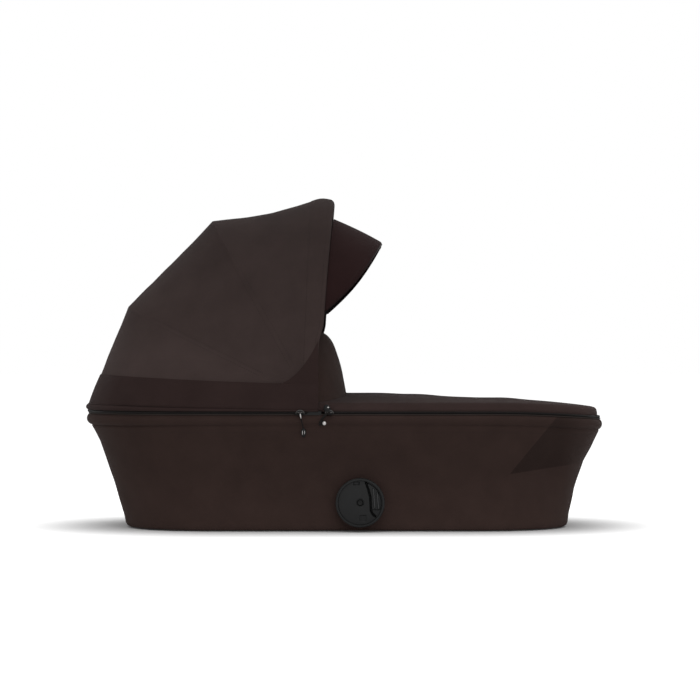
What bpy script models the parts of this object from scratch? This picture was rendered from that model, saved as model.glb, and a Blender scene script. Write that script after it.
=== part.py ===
"""A pram carrycot: a fabric tub on a rim tube and a base tray, with a folding hood and an apron.

Metres, +Z up. +X points to the foot end and -X to the head end.
The origin is on the floor, under the middle of the rim.
"""

from math import cos, pi, radians, sin, tan

import bmesh
import bpy
import numpy as np
from mathutils import Matrix, Vector

# Rim, the widest line of the tub
RIM_LENGTH = 0.860
RIM_WIDTH = 0.420
RIM_HEIGHT = 0.181
RIM_FOOT_DROP = 0.010
RIM_STRAIGHT = 0.240
TUBE_DIAMETER = 0.016

# Base of the tub
BASE_LENGTH = 0.730
BASE_WIDTH = 0.350
BASE_STRAIGHT = 0.200

# Fabric, board and gaps
COVER_THICKNESS = 0.002
COVER_FLOOR_GAP = 0.002
COVER_CORNER = 0.005
COVER_TURN_IN = 0.026
COVER_WRAP_INSET = 0.0008
COVER_WRAP_SHARE = 0.55
LINING_THICKNESS = 0.0018
HOOD_FABRIC = 0.0016
APRON_THICKNESS = 0.003
FIT_GAP = 0.0003
OVERRUN = 0.004

# Base tray and mattress
TRAY_THICKNESS = 0.003
TRAY_WALL_HEIGHT = 0.026
TRAY_RIB_HEIGHT = 0.0012
TRAY_RIB_WIDTH = 0.010
FOOT_PAD_DIAMETER = 0.030
FOOT_PAD_X = 0.220
FOOT_PAD_Y = 0.090
LINING_BASE_INSET = 0.0180
MATTRESS_HEIGHT = 0.036
MATTRESS_SIDE_GAP = 0.002
MATTRESS_CROWN = 0.006
MATTRESS_EDGE = 0.010

# Frames inside the side and end walls
SIDE_BRACKET_WIDTH = 0.070
SIDE_BRACKET_THICKNESS = 0.003
END_FRAME_WIRE = 0.005
END_FRAME_REACH_SHARE = 0.55

# Zips
ZIP_COIL_WIDTH = 0.0035
ZIP_COIL_HEIGHT = 0.004
ZIP_TAPE_WIDTH = 0.013
ZIP_TAPE_THICKNESS = 0.0012
HOOD_ZIP_START = -0.060
APRON_ZIP_START = -0.031
SLIDER_LENGTH = 0.011
SLIDER_HEIGHT = 0.0075
SLIDER_THICKNESS = 0.0022
SLIDER_BAR = 0.0016
SLIDER_POST = 0.0014
SLIDER_BAR_REACH = 0.0028
HOOD_SLIDER_X = -0.071
APRON_SLIDER_X = -0.024
PULL_WIDTH = 0.0040
PULL_THICKNESS = 0.0022
HOOD_PULL_LENGTH = 0.034
APRON_PULL_LENGTH = 0.026
PULL_BEAD_LENGTH = 0.0085
PULL_BEAD_DIAMETER = 0.0052

# Hood, a fan of bows about one pivot axis
PIVOT_X = -0.055
PIVOT_RISE = 0.036
REAR_BOW_ANGLE = 154.0
MIDDLE_BOW_ANGLE = 119.5
FRONT_BOW_ANGLE = 87.5
REAR_BOW_RADIUS = 0.3405
MIDDLE_BOW_RADIUS = 0.3360
FRONT_BOW_RADIUS = 0.3300
REAR_BOW_RISE = 0.064
MIDDLE_BOW_RISE = 0.033
FRONT_BOW_RISE = 0.093
BOW_ROUNDNESS = 2.6
BOW_LEAN_SHARE = 0.16
BOW_STRIP_WIDTH = 0.008
BOW_STRIP_THICKNESS = 0.0032
FRONT_STRIP_WIDTH = 0.010
BOW_INSET = 0.0056
EYE_DIAMETER = 0.020
PIVOT_PIN_DIAMETER = 0.0076
PIVOT_HEAD_DIAMETER = 0.014
PIVOT_HEAD_THICKNESS = 0.0015
PIN_CLEARANCE = 0.0003
EYE_GAP = 0.0003
EYE_PROUD = 0.0002
CANOPY_SAG = 0.0055
PANEL_GAP = 0.0007

# Band and gusset under the canopy
BAND_SIDE_RISE = 0.023
BAND_HEAD_RISE = 0.0365
BAND_HEAD_LEAN = 0.022
BAND_START = -0.0905
GUSSET_FRONT = 0.013

# Front hem, a padded tunnel round the front bow
HEM_BACK = 0.016
HEM_FORE = 0.016
HEM_CROWN_FORE = 0.006
HEM_BACK_DROP = 0.0055
HEM_SIDE_DEPTH = 0.0042
HEM_CROWN_DEPTH = 0.030
HEM_SIDE_CORNER = 0.0025
HEM_CROWN_CORNER = 0.005

# Sun visor on the front bow
VISOR_ALONG = 0.137
VISOR_FORWARD = 0.0085
VISOR_LUG_SINK = 0.0012
VISOR_ANGLE = 49.6
VISOR_RADIUS = 0.157
VISOR_LEAN_SHARE = 0.20
VISOR_BULGE = 0.0075
VISOR_STRIP_WIDTH = 0.006
VISOR_STRIP_THICKNESS = 0.0025
VISOR_EYE_DIAMETER = 0.010
VISOR_PIN_DIAMETER = 0.0044
VISOR_PIN_HEAD = 0.0063
VISOR_PIN_CAP = 0.0009
VISOR_FABRIC_START = 0.016
VISOR_FABRIC_INSET = 0.0025
VISOR_CROWN_DROP = 0.031
VISOR_FABRIC_GAP = 0.0014

# Hinge bracket of the hood, a saddle on the rim tube
BRACKET_BACK = 0.024
BRACKET_FRONT = 0.018
BRACKET_TOP = 0.006
BRACKET_SIDE = 0.006
BRACKET_DEPTH = 0.018
BRACKET_PLATE = 0.006
BRACKET_PLATE_RADIUS = 0.012

# Apron over the foot end, with its wind flap
APRON_INSET = 0.009
APRON_SIDE_START = -0.0365
APRON_MIDDLE_START = 0.004
APRON_SKIRT = 0.0095
APRON_CORNER = 0.007
APRON_CROWN = 0.0125
APRON_SPINE_END = 0.230
APRON_ROW_SHARES = (0.0, 0.12, 0.28, 0.5, 0.75, 1.0)
FLAP_SIDE_GAP = 0.024
FLAP_HEIGHT = 0.104
FLAP_SIDE_HEIGHT = 0.046
FLAP_LEAN = 0.047
FLAP_WRAP = 0.044
FLAP_THICKNESS = 0.002
FLAP_BASE_GAP = 0.0008
FLAP_RISE_POWER = 0.9

# Adapter hub on each side
HUB_X = 0.0255
HUB_HEIGHT = 0.0480
HUB_DIAMETER = 0.079
HUB_PROUD = 0.0155
HUB_BACK_GAP = 0.0032
HUB_ROOT = 0.007
HUB_WALL = 0.0034
HUB_LIP = 0.0020
HUB_PLATE_THICKNESS = 0.0070
HUB_SKIRT = 0.0040
HUB_BOSS_DIAMETER = 0.020
COVER_HOLE_DIAMETER = 0.040
BRACKET_BOSS_DIAMETER = 0.020
SLOT_WIDTH = 0.028
SLOT_DEPTH = 0.0085
SLOT_HEIGHT = 0.026
SLOT_WALL = 0.0018
SCREW_DIAMETER = 0.0060
SCREW_LENGTH = 0.022
SCREW_HEAD_DIAMETER = 0.0095
SCREW_HEAD_HEIGHT = 0.0026
SCREW_SEAT_DIAMETER = 0.0125
SCREW_SEAT_DEPTH = 0.0030
RELEASE_TRAVEL = 0.003
RELEASE_GAP = 0.0034
RELEASE_PROUD = 0.0008
RELEASE_RIB_WIDTH = 0.0016
RELEASE_RIB_HEIGHT = 0.0014
RELEASE_FLOOR = 0.0012
SPRING_STRIP = 0.0005
SPRING_WIDTH = 0.0040
NOTCH_DEPTH = 0.0018

# Shares of the hub's radius: the release pocket's outline, clockwise from its top left, as X then Z
POCKET_OUTLINE_SHARES = ((0.10, 0.80), (0.66, 0.80), (0.84, 0.36), (0.84, -0.28), (0.34, -0.28))
RELEASE_RIB_SHARES = (0.47, 0.63)
RELEASE_RIB_TOP_SHARE = 0.44
RELEASE_RIB_BOTTOM_SHARE = -0.16
SCREW_HEAD_SHARES = ((0.0, 1.0), (0.4, 1.0), (0.8, 0.7), (1.0, 0.3))
BEAD_SHARES = ((0.0, 0.7), (0.15, 1.0), (0.8, 1.0), (1.0, 0.6))
PIN_HEAD_SHARES = ((1.0, 0.8), (0.6, 1.0))
LOWER_NOTCH_SHARES = ((-0.03, -0.52), (0.15, -0.52), (0.15, -0.37), (-0.03, -0.37))
UPPER_NOTCH_SHARES = ((-0.44, 0.60), (-0.12, 0.70), (-0.12, 0.80), (-0.30, 0.78))

# How far each wall has flared at a share of its height
HEAD_FLARE_SHARES = (0.83, 0.03, 4.0)
FOOT_FLARE_SHARES = (0.62, 0.38, 2.0)
SIDE_FLARE_SHARES = (0.75, 0.25, 4.0)

# Shape of the rounded ends, and steps along curves
END_ROUNDNESS = 2.4
END_STEPS = 10
SIDE_STEPS = 2
TUBE_SIDES = 8
PIN_SIDES = 12
ROUND_SIDES = 16
HUB_SIDES = 40
ARCH_STEPS = 13
COVER_LEVEL_SHARES = (0.03, 0.22, 0.42, 0.62, 0.80)
WELD = 0.00001
SHARP_ANGLE = radians(35)

TUBE_RADIUS = TUBE_DIAMETER / 2
HUB_RADIUS = HUB_DIAMETER / 2
TUBE_INSET = COVER_THICKNESS + FIT_GAP + TUBE_RADIUS
TUBE_INNER_INSET = TUBE_INSET + TUBE_RADIUS
LINING_RIM_INSET = TUBE_INNER_INSET + FIT_GAP + BRACKET_SIDE + FIT_GAP
LINING_RISE = TUBE_RADIUS + FIT_GAP
ZIP_RISE = LINING_RISE + LINING_THICKNESS + FIT_GAP
FABRIC_RISE = ZIP_RISE + ZIP_COIL_HEIGHT + FIT_GAP
TRAY_BOTTOM = COVER_FLOOR_GAP + COVER_THICKNESS + FIT_GAP
TRAY_INSET = COVER_THICKNESS + FIT_GAP
LINING_BOTTOM = TRAY_BOTTOM + TRAY_THICKNESS + 2 * FIT_GAP
MATTRESS_BOTTOM = LINING_BOTTOM + LINING_THICKNESS + FIT_GAP
TRAY_TOP = TRAY_BOTTOM + TRAY_WALL_HEIGHT
HALF_WIDTH = RIM_WIDTH / 2
FLAP_HALF_WIDTH = HALF_WIDTH - FLAP_SIDE_GAP
PIVOT_HEIGHT = RIM_HEIGHT + PIVOT_RISE


def make_material(name, colour, roughness, metallic=0.0):
    made = bpy.data.materials.new(name)
    made.use_nodes = True
    shader = made.node_tree.nodes["Principled BSDF"]
    shader.inputs["Base Color"].default_value = (*colour, 1.0)
    shader.inputs["Roughness"].default_value = roughness
    shader.inputs["Metallic"].default_value = metallic
    made.diffuse_color = (*colour, 1.0)
    return made


def add_object(name, points, faces, finish, origin=None):
    """A mesh object. Its origin is moved to the given point, such as a place on its joint's axis."""
    mesh = bpy.data.meshes.new(name)
    mesh.from_pydata([tuple(map(float, p)) for p in points], [], faces)
    shape = bmesh.new()
    shape.from_mesh(mesh)
    bmesh.ops.remove_doubles(shape, verts=shape.verts, dist=WELD)
    bmesh.ops.recalc_face_normals(shape, faces=shape.faces)
    shape.to_mesh(mesh)
    shape.free()
    mesh.shade_smooth()
    mesh.set_sharp_from_angle(angle=SHARP_ANGLE)
    if finish:
        mesh.materials.append(finish)
    made = bpy.data.objects.new(name, mesh)
    bpy.context.scene.collection.objects.link(made)
    if origin is not None:
        mesh.transform(Matrix.Translation(-Vector(origin)))
        made.location = origin
    return made


def ring_faces(rings, count, wrap_rings, wrap_points):
    """Quads between neighbouring rings of count points each."""
    faces = []
    for i in range(rings if wrap_rings else rings - 1):
        low, high = i * count, (i + 1) % rings * count
        for j in range(count if wrap_points else count - 1):
            k = (j + 1) % count
            faces.append((low + j, low + k, high + k, high + j))
    return faces


def swept_solid(name, rings, finish, origin=None, closed=False):
    """A solid through closed rings, capped at both ends or, where closed, joined round into a loop."""
    count = len(rings[0])
    faces = ring_faces(len(rings), count, closed, True)
    if not closed:
        faces += [tuple(range(count)), tuple(range(len(rings) * count - count, len(rings) * count))]
    return add_object(name, [p for ring in rings for p in ring], faces, finish, origin)


def sheet_solid(name, grid, thickness, finish, outward, origin=None):
    """A sheet of rows of points, thickened away from the side that outward points to."""
    faces = ring_faces(len(grid), len(grid[0]), False, False)
    made = add_object(name, [p for row in grid for p in row], faces, finish)
    facing = sum((f.normal * f.area for f in made.data.polygons), Vector())
    if facing.dot(Vector(outward)) < 0:
        made.data.flip_normals()
    if origin is not None:
        made.data.transform(Matrix.Translation(-Vector(origin)))
        made.location = origin
    thick = made.modifiers.new("thickness", "SOLIDIFY")
    thick.thickness = thickness
    thick.offset = -1
    thick.use_even_offset = True
    return made


def box_solid(name, low, high, finish, origin=None):
    points = [(x, y, z) for x in (low[0], high[0]) for y in (low[1], high[1]) for z in (low[2], high[2])]
    faces = [(0, 1, 3, 2), (4, 6, 7, 5), (0, 4, 5, 1), (2, 3, 7, 6), (0, 2, 6, 4), (1, 5, 7, 3)]
    return add_object(name, points, faces, finish, origin)


def sideways_box(name, centre, size, side, outs, finish, origin=None):
    """A box centred at X and Z, reaching between two distances out from the middle plane."""
    low = (centre[0] - size[0] / 2, min(side * outs[0], side * outs[1]), centre[1] - size[1] / 2)
    high = (centre[0] + size[0] / 2, max(side * outs[0], side * outs[1]), centre[1] + size[1] / 2)
    return box_solid(name, low, high, finish, origin)


def turned_solid(name, centre, profile, finish, side=1, sides=ROUND_SIDES, origin=None):
    """A solid turned about a line along Y. The profile is (distance out, radius) pairs."""
    rings = [
        [(centre[0] + r * cos(a), side * y, centre[1] + r * sin(a)) for a in turn_angles(sides)]
        for y, r in profile
    ]
    return swept_solid(name, rings, finish, origin)


def turn_angles(sides):
    return [2 * pi * i / sides for i in range(sides)]


def prism_solid(name, centre, outline, outs, side, finish, origin=None):
    """An outline in X and Z, extruded between two distances out from the middle plane."""
    rings = [[(centre[0] + x, side * y, centre[1] + z) for x, z in outline] for y in outs]
    return swept_solid(name, rings, finish, origin)


def cut(target, cutter, operation="DIFFERENCE"):
    """Cuts target by a helper, or joins the two. The helper isn't part of the model."""
    cutter.hide_render = True
    cutter.display_type = "WIRE"
    step = target.modifiers.new(cutter.name, "BOOLEAN")
    step.operation = operation
    step.object = cutter


def blend(low, high, share):
    return low + (high - low) * share


def unit_loop(side_steps=SIDE_STEPS, end_steps=END_STEPS):
    """Stations round the tub: share along the straight side, share out into the end, share of the half width.

    They run from the middle of the right side (-Y) to the foot end, the left side, the head end and back.
    """
    power = 2 / END_ROUNDNESS
    half_side = [i / side_steps for i in range(side_steps + 1)]
    end = [pi / 2 * i / end_steps for i in range(1, end_steps)]
    right_foot = [(s, 0.0, -1.0) for s in half_side]
    right_foot += [(1.0, sin(a) ** power, -(cos(a) ** power)) for a in end]
    foot_left = [(s, e, -y) for s, e, y in reversed(right_foot)]
    half = right_foot + [(1.0, 1.0, 0.0)] + foot_left
    return half + [(-s, e, y) for s, e, y in reversed(half[1:-1])]


def flare(shares, height):
    straight, curved, power = shares
    return straight * height + curved * height**power


def rim_z(station):
    """The rim tube's centre height, which dips round the foot end."""
    along, end, _ = station
    return RIM_HEIGHT - (RIM_FOOT_DROP * end**2 if along > 0 else 0.0)


def plan_point(station, straight, half_head, half_foot, half_width):
    along, end, across = station
    reach = half_foot if along > 0 else -half_head
    straight_x = along * straight
    return straight_x + (reach - (straight if along > 0 else -straight)) * end, across * half_width


def wall_point(station, height, inset=0.0, lift=0.0):
    """A point on the tub's wall, at a share of the height from its foot to the rim tube's centre."""
    x, y = plan_point(
        station,
        blend(BASE_STRAIGHT, RIM_STRAIGHT, height),
        blend(BASE_LENGTH / 2, RIM_LENGTH / 2, flare(HEAD_FLARE_SHARES, height)) - inset,
        blend(BASE_LENGTH / 2, RIM_LENGTH / 2, flare(FOOT_FLARE_SHARES, height)) - inset,
        blend(BASE_WIDTH / 2, HALF_WIDTH, flare(SIDE_FLARE_SHARES, height)) - inset,
    )
    return x, y, blend(COVER_FLOOR_GAP, rim_z(station), height) + lift


def rim_point(station, inset, rise, lean=0.0):
    """A point above the rim: inset from its outline, rise over the tube's centre, leaning in at the head end."""
    half = RIM_LENGTH / 2 - inset
    x, y = plan_point(station, RIM_STRAIGHT, half - lean, half, HALF_WIDTH - inset)
    return x, y, rim_z(station) + rise


def wall_share(z):
    """The share of the wall's height at a height over the floor, on the straight sides."""
    return (z - COVER_FLOOR_GAP) / (RIM_HEIGHT - COVER_FLOOR_GAP)


def side_out(z, inset=0.0):
    """How far out the side wall's face is at a height over the floor."""
    return wall_point((0.0, 0.0, 1.0), wall_share(z), inset)[1]


def hub_face_out():
    """How far out the hub's face is: clear of the wall, also where the wall is furthest out."""
    return max(side_out(HUB_HEIGHT + HUB_RADIUS), side_out(HUB_HEIGHT - HUB_RADIUS)) + HUB_PROUD


def hub_back_out():
    """Where the hub's post meets the boss of the bracket inside the wall."""
    return side_out(HUB_HEIGHT) + HUB_BACK_GAP


def hub_root_out():
    """A place behind the wall all round the hub, from which its skirt is shaped."""
    return min(side_out(HUB_HEIGHT + HUB_RADIUS), side_out(HUB_HEIGHT - HUB_RADIUS)) - HUB_ROOT


def head_stations(start):
    """Stations of the head end, from the right side at X = start round to the left side at the same X."""
    first = start / RIM_STRAIGHT
    beyond = [s for s in unit_loop() if s[0] < first - WELD]
    right = sorted((s for s in beyond if s[2] < 0), key=lambda s: (s[1], -s[0]))
    left = [(s, e, -y) for s, e, y in reversed(right)]
    middle = [s for s in beyond if s[2] == 0]
    return [(first, 0.0, -1.0)] + right + middle + left + [(first, 0.0, 1.0)]


def foot_stations(start):
    """Stations of the foot end, from the right side at X = start round to the left side at the same X."""
    mirrored = head_stations(-start)
    return [(-s, e, y) for s, e, y in mirrored]


def closed_wall(name, outer, inner, finish):
    """A wall all the way round the tub, from an outer and an inner list of points for each station."""
    rings = []
    for station in unit_loop():
        rings.append(outer(station) + list(reversed(inner(station))))
    return swept_solid(name, rings, finish, closed=True)


def over_rim(station, inset):
    """The cover's way round the outside of the rim tube, from under its middle to its top."""
    under = COVER_WRAP_SHARE * TUBE_RADIUS
    return [
        rim_point(station, inset + COVER_WRAP_INSET, -under),
        rim_point(station, inset, 0.0),
        rim_point(station, inset, TUBE_RADIUS),
    ]


def make_cover(finish):
    def outer(station):
        turned = [wall_point(station, 0.0, COVER_TURN_IN), wall_point(station, 0.0, COVER_CORNER)]
        wall = [wall_point(station, h) for h in COVER_LEVEL_SHARES]
        return turned + wall + over_rim(station, 0.0)

    def inner(station):
        t = COVER_THICKNESS
        turned = [wall_point(station, 0.0, COVER_TURN_IN, t), wall_point(station, 0.0, COVER_CORNER + t, t)]
        wall = [wall_point(station, h, t) for h in COVER_LEVEL_SHARES[1:]]
        corner = wall_point(station, COVER_LEVEL_SHARES[0], t)
        raised = (corner[0], corner[1], max(corner[2], COVER_FLOOR_GAP + 2 * t))
        return turned + [raised] + wall + over_rim(station, t)

    cover = closed_wall("shell_cover", outer, inner, finish)
    for side in (-1, 1):
        hole = turned_solid(
            f"cover_hole_{side}",
            (HUB_X, HUB_HEIGHT),
            ((hub_face_out(), COVER_HOLE_DIAMETER / 2), (BASE_WIDTH / 4, COVER_HOLE_DIAMETER / 2)),
            None,
            side,
        )
        cut(cover, hole)
    return cover


def make_tray(finish):
    """A shallow moulded pan with a stiffening rib along it, held in the fabric's turned-in foot."""
    top_share = wall_share(TRAY_TOP)
    low_share = COVER_LEVEL_SHARES[0]
    t = TRAY_THICKNESS
    lift = COVER_THICKNESS + FIT_GAP
    inner_base = TRAY_INSET + COVER_CORNER + t
    rings = [
        [wall_point(s, 0.0, TRAY_INSET + COVER_CORNER, lift) for s in unit_loop()],
        [wall_point(s, low_share, TRAY_INSET + FIT_GAP, lift) for s in unit_loop()],
        [wall_point(s, top_share, TRAY_INSET) for s in unit_loop()],
        [wall_point(s, top_share, TRAY_INSET + t) for s in unit_loop()],
        [wall_point(s, low_share, inner_base, lift + t) for s in unit_loop()],
        [wall_point(s, 0.0, inner_base + COVER_CORNER, lift + t) for s in unit_loop()],
    ]
    tray = swept_solid("base_tray", rings, finish)
    for side in (-1, 1):
        rib = box_solid(
            f"tray_rib_{side}",
            (-FOOT_PAD_X, side * FOOT_PAD_Y / 3 - TRAY_RIB_WIDTH / 2, TRAY_BOTTOM - TRAY_RIB_HEIGHT),
            (FOOT_PAD_X, side * FOOT_PAD_Y / 3 + TRAY_RIB_WIDTH / 2, TRAY_BOTTOM + t / 2),
            None,
        )
        cut(tray, rib, "UNION")
    return tray


def make_foot_pads(finish):
    top = TRAY_BOTTOM - FIT_GAP
    corners = [(x, y) for x in (-1, 1) for y in (-1, 1)]
    for number, (across, away) in enumerate(corners, start=1):
        centre = Vector((across * FOOT_PAD_X, away * FOOT_PAD_Y, 0))
        edge = top / 3
        radius = FOOT_PAD_DIAMETER / 2
        rings = []
        for z, r in ((0.0, radius - edge), (edge, radius), (top, radius)):
            rings.append([centre + Vector((r * cos(a), r * sin(a), z)) for a in turn_angles(ROUND_SIDES)])
        swept_solid(f"foot_pad_{number}", rings, finish)


def lining_inset(height):
    return blend(LINING_BASE_INSET, LINING_RIM_INSET, height**2)


def lining_levels():
    low = wall_share(LINING_BOTTOM)
    return [blend(low, 1.0, i / 5) for i in range(6)]


def make_lining(finish):
    """The padded inner lining: floor, walls, and a top edge turned out over the rim tube."""
    t = LINING_THICKNESS
    loop = unit_loop()
    low = lining_levels()[0]
    outer = [[wall_point(s, h, lining_inset(h)) for s in loop] for h in lining_levels()]
    outer.append([rim_point(s, LINING_RIM_INSET, LINING_RISE) for s in loop])
    outer.append([rim_point(s, COVER_THICKNESS, LINING_RISE) for s in loop])
    inner = [[rim_point(s, COVER_THICKNESS, LINING_RISE + t) for s in loop]]
    inner.append([rim_point(s, LINING_RIM_INSET + t, LINING_RISE + t) for s in loop])
    inner += [[wall_point(s, h, lining_inset(h) + t) for s in loop] for h in reversed(lining_levels()[1:])]
    inner.append([wall_point(s, low, lining_inset(low) + t, t) for s in loop])
    lining = swept_solid("lining", outer + inner, finish)
    for side in (-1, 1):
        notch = sideways_box(
            f"lining_notch_{side}",
            (PIVOT_X + (BRACKET_FRONT - BRACKET_BACK) / 2, RIM_HEIGHT + LINING_RISE),
            (BRACKET_FRONT + BRACKET_BACK + 2 * FIT_GAP, 2 * OVERRUN),
            side,
            (HALF_WIDTH - LINING_RIM_INSET + FIT_GAP / 2, HALF_WIDTH + OVERRUN),
            None,
        )
        cut(lining, notch)
    return lining


def make_mattress(finish):
    """A foam pad with a crowned top and edges that draw in."""
    edge = MATTRESS_EDGE
    low = wall_share(MATTRESS_BOTTOM)
    levels = ((0.0, edge / 2), (edge / 2, 0.0), (MATTRESS_HEIGHT - edge, 0.0), (MATTRESS_HEIGHT, edge))
    rings = []
    for rise, draw in levels:
        inset = lining_inset(low) + LINING_THICKNESS + MATTRESS_SIDE_GAP + draw
        rings.append([wall_point(s, low, inset, rise) for s in unit_loop()])
    edge_ring = rings[-1]
    for share in (0.35, 0.7, 0.97):
        crown = MATTRESS_CROWN * (1 - (1 - share) ** 2)
        rings.append([(x * (1 - share / 2), y * (1 - share), z + crown) for x, y, z in edge_ring])
    return swept_solid("mattress", rings, finish)


def tube_ring(centre, outward, upward, radius, sides=TUBE_SIDES):
    centre, outward, upward = Vector(centre), Vector(outward).normalized(), Vector(upward).normalized()
    return [centre + radius * (cos(a) * outward + sin(a) * upward) for a in turn_angles(sides)]


def swept_tube(name, route, radius, finish, first_side, sides=TUBE_SIDES):
    """A round tube along a list of points, with flat ends square to it. first_side is off its first run."""
    route = [Vector(p) for p in route]
    rings = []
    normal = Vector(first_side)
    for i, point in enumerate(route):
        along = (route[min(i + 1, len(route) - 1)] - route[max(i - 1, 0)]).normalized()
        normal = (normal - along * normal.dot(along)).normalized()
        rings.append(tube_ring(point, normal, along.cross(normal), radius, sides))
    return swept_solid(name, rings, finish)


def make_rim_tubes(finish):
    """Two U-shaped halves whose ends meet inside the hinge brackets."""
    for name, stations in (
        ("rim_tube_head", head_stations(PIVOT_X - FIT_GAP / 2)),
        ("rim_tube_foot", foot_stations(PIVOT_X + FIT_GAP / 2)),
    ):
        route = [rim_point(s, TUBE_INSET, 0.0) for s in stations]
        swept_tube(name, route, TUBE_RADIUS, finish, (0, 0, 1))


def make_end_frame(name, sign, finish):
    """A wire bow that stands on the tray's wall and holds the rim up, inside the end wall."""
    inset = TRAY_INSET + END_FRAME_WIRE / 2 + FIT_GAP
    low = wall_share(TRAY_TOP + END_FRAME_WIRE / 2 + FIT_GAP)
    high = wall_share(RIM_HEIGHT - TUBE_RADIUS - END_FRAME_WIRE / 2 - FIT_GAP)
    reach = END_FRAME_REACH_SHARE
    end_stations = [s for s in unit_loop() if s[0] * sign == 1 and abs(s[2]) <= reach]
    end_stations.sort(key=lambda s: s[2])
    first, last = end_stations[0], end_stations[-1]
    levels = [blend(low, high, i / 4) for i in range(5)]
    top_inset = blend(inset, TUBE_INSET, END_FRAME_REACH_SHARE)
    insets = [blend(inset, top_inset, i / 4) for i in range(5)]
    rise = [wall_point(first, h, d) for h, d in zip(levels, insets)]
    across = [wall_point(s, high, top_inset) for s in end_stations[1:-1]]
    fall = [wall_point(last, h, d) for h, d in reversed(list(zip(levels, insets)))]
    swept_tube(name, rise + across + fall, END_FRAME_WIRE / 2, finish, (1, 0, 0), sides=8)


def make_side_bracket(side, finish):
    """A strut between tray and rim, with the boss that carries the hub through the cover."""
    low = wall_share(TRAY_TOP + FIT_GAP)
    high = wall_share(RIM_HEIGHT - TUBE_RADIUS + FIT_GAP)
    t = SIDE_BRACKET_THICKNESS
    half = SIDE_BRACKET_WIDTH / 2
    rings = []
    for i in range(7):
        h = blend(low, high, i / 6)
        inner, outer = (wall_point((0.0, 0.0, 1.0), h, TRAY_INSET + FIT_GAP + d) for d in (t, 0.0))
        taper = blend(half, half * 0.7, i / 6)
        corners = ((-taper, inner), (taper, inner), (taper, outer), (-taper, outer))
        rings.append([(HUB_X + x, side * p[1], p[2]) for x, p in corners])
    name = "side_bracket_right" if side < 0 else "side_bracket_left"
    bracket = swept_solid(name, rings, finish)
    inner_out = side_out(HUB_HEIGHT, TRAY_INSET + FIT_GAP + t)
    centre = (HUB_X, HUB_HEIGHT)
    radius = BRACKET_BOSS_DIAMETER / 2
    boss_profile = ((hub_back_out() - FIT_GAP, radius), (inner_out, radius))
    cut(bracket, turned_solid(f"bracket_boss_{side}", centre, boss_profile, None, side), "UNION")
    bore = SCREW_DIAMETER / 2 + PIN_CLEARANCE
    bore_profile = ((hub_back_out() + OVERRUN, bore), (inner_out - OVERRUN, bore))
    cut(bracket, turned_solid(f"bracket_bore_{side}", centre, bore_profile, None, side), "DIFFERENCE")


def make_hub(side, housing_finish, plate_finish, metal):
    """The adapter hub: a cup on the cover, a face plate, a sprung release, its spring and the screw."""
    word = "right" if side < 0 else "left"
    centre = (HUB_X, HUB_HEIGHT)
    inner_radius = HUB_RADIUS - HUB_WALL
    face_out = hub_face_out()
    plate_out = face_out - HUB_LIP
    plate_back = plate_out - HUB_PLATE_THICKNESS
    floor_out = plate_back - FIT_GAP
    floor_back = floor_out - HUB_WALL
    back = hub_root_out()
    profile = [
        (face_out - HUB_LIP / 2, HUB_RADIUS),
        (face_out, HUB_RADIUS - HUB_LIP / 2),
        (face_out, inner_radius),
        (floor_out, inner_radius),
    ]
    housing = cup_solid(f"hub_housing_{word}", centre, profile, back, side, housing_finish)
    skirt = turned_solid(
        f"hub_hollow_{side}",
        centre,
        ((floor_back, inner_radius - HUB_SKIRT), (back - OVERRUN, inner_radius - HUB_SKIRT)),
        None,
        side,
        HUB_SIDES,
    )
    post_radius = HUB_BOSS_DIAMETER / 2
    post_profile = ((floor_out - HUB_WALL / 2, post_radius), (hub_back_out(), post_radius))
    post = turned_solid(f"hub_post_{side}", centre, post_profile, None, side)
    slot_top = HUB_HEIGHT - HUB_RADIUS + SLOT_HEIGHT
    slot_outs = (floor_back, floor_back - SLOT_DEPTH)
    wall_box = sideways_box(
        f"slot_wall_{side}",
        (HUB_X, slot_top - SLOT_HEIGHT / 2 + SLOT_WALL),
        (SLOT_WIDTH + 2 * SLOT_WALL, SLOT_HEIGHT),
        side,
        (floor_out - HUB_WALL / 2, slot_outs[1] - SLOT_WALL),
        None,
    )
    slot = sideways_box(
        f"adapter_slot_{side}",
        (HUB_X, slot_top - SLOT_HEIGHT / 2 - OVERRUN / 2),
        (SLOT_WIDTH, SLOT_HEIGHT + OVERRUN),
        side,
        slot_outs,
        None,
    )
    wall_slice = wall_cutter(f"wall_slice_{side}", side)
    bore = SCREW_DIAMETER / 2 + PIN_CLEARANCE
    hole_profile = ((face_out + OVERRUN, bore), (back - OVERRUN, bore))
    hole = turned_solid(f"hub_bore_{side}", centre, hole_profile, None, side)
    cut(housing, skirt)
    cut(housing, post, "UNION")
    cut(housing, wall_box, "UNION")
    cut(housing, slot)
    cut(housing, wall_slice)
    cut(housing, hole)
    make_hub_plate(side, word, plate_finish, plate_out, plate_back, inner_radius)
    make_release(side, word, housing_finish, metal, plate_out, plate_back)
    make_hub_screw(side, word, metal, plate_out)


def cup_solid(name, centre, profile, back, side, finish):
    """A round cup: its outer wall runs back from the first profile point, its floor closes the last one."""
    first = profile[0]
    outline = [(back, first[1])] + profile
    return turned_solid(name, centre, outline, finish, side, HUB_SIDES)


def wall_cutter(name, side):
    """The space that the cover fills near the hub, grown by the fit gap."""
    rings = []
    reach = HUB_RADIUS + OVERRUN
    for i in range(9):
        z = HUB_HEIGHT - reach + 2 * reach * i / 8
        out = side_out(z, -FIT_GAP)
        corners = ((-reach, BASE_WIDTH / 4), (reach, BASE_WIDTH / 4), (reach, out), (-reach, out))
        rings.append([(HUB_X + x, side * y, z) for x, y in corners])
    return swept_solid(name, rings, None)


def hub_outline(shares):
    return [(x * HUB_RADIUS, z * HUB_RADIUS) for x, z in shares]


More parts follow.
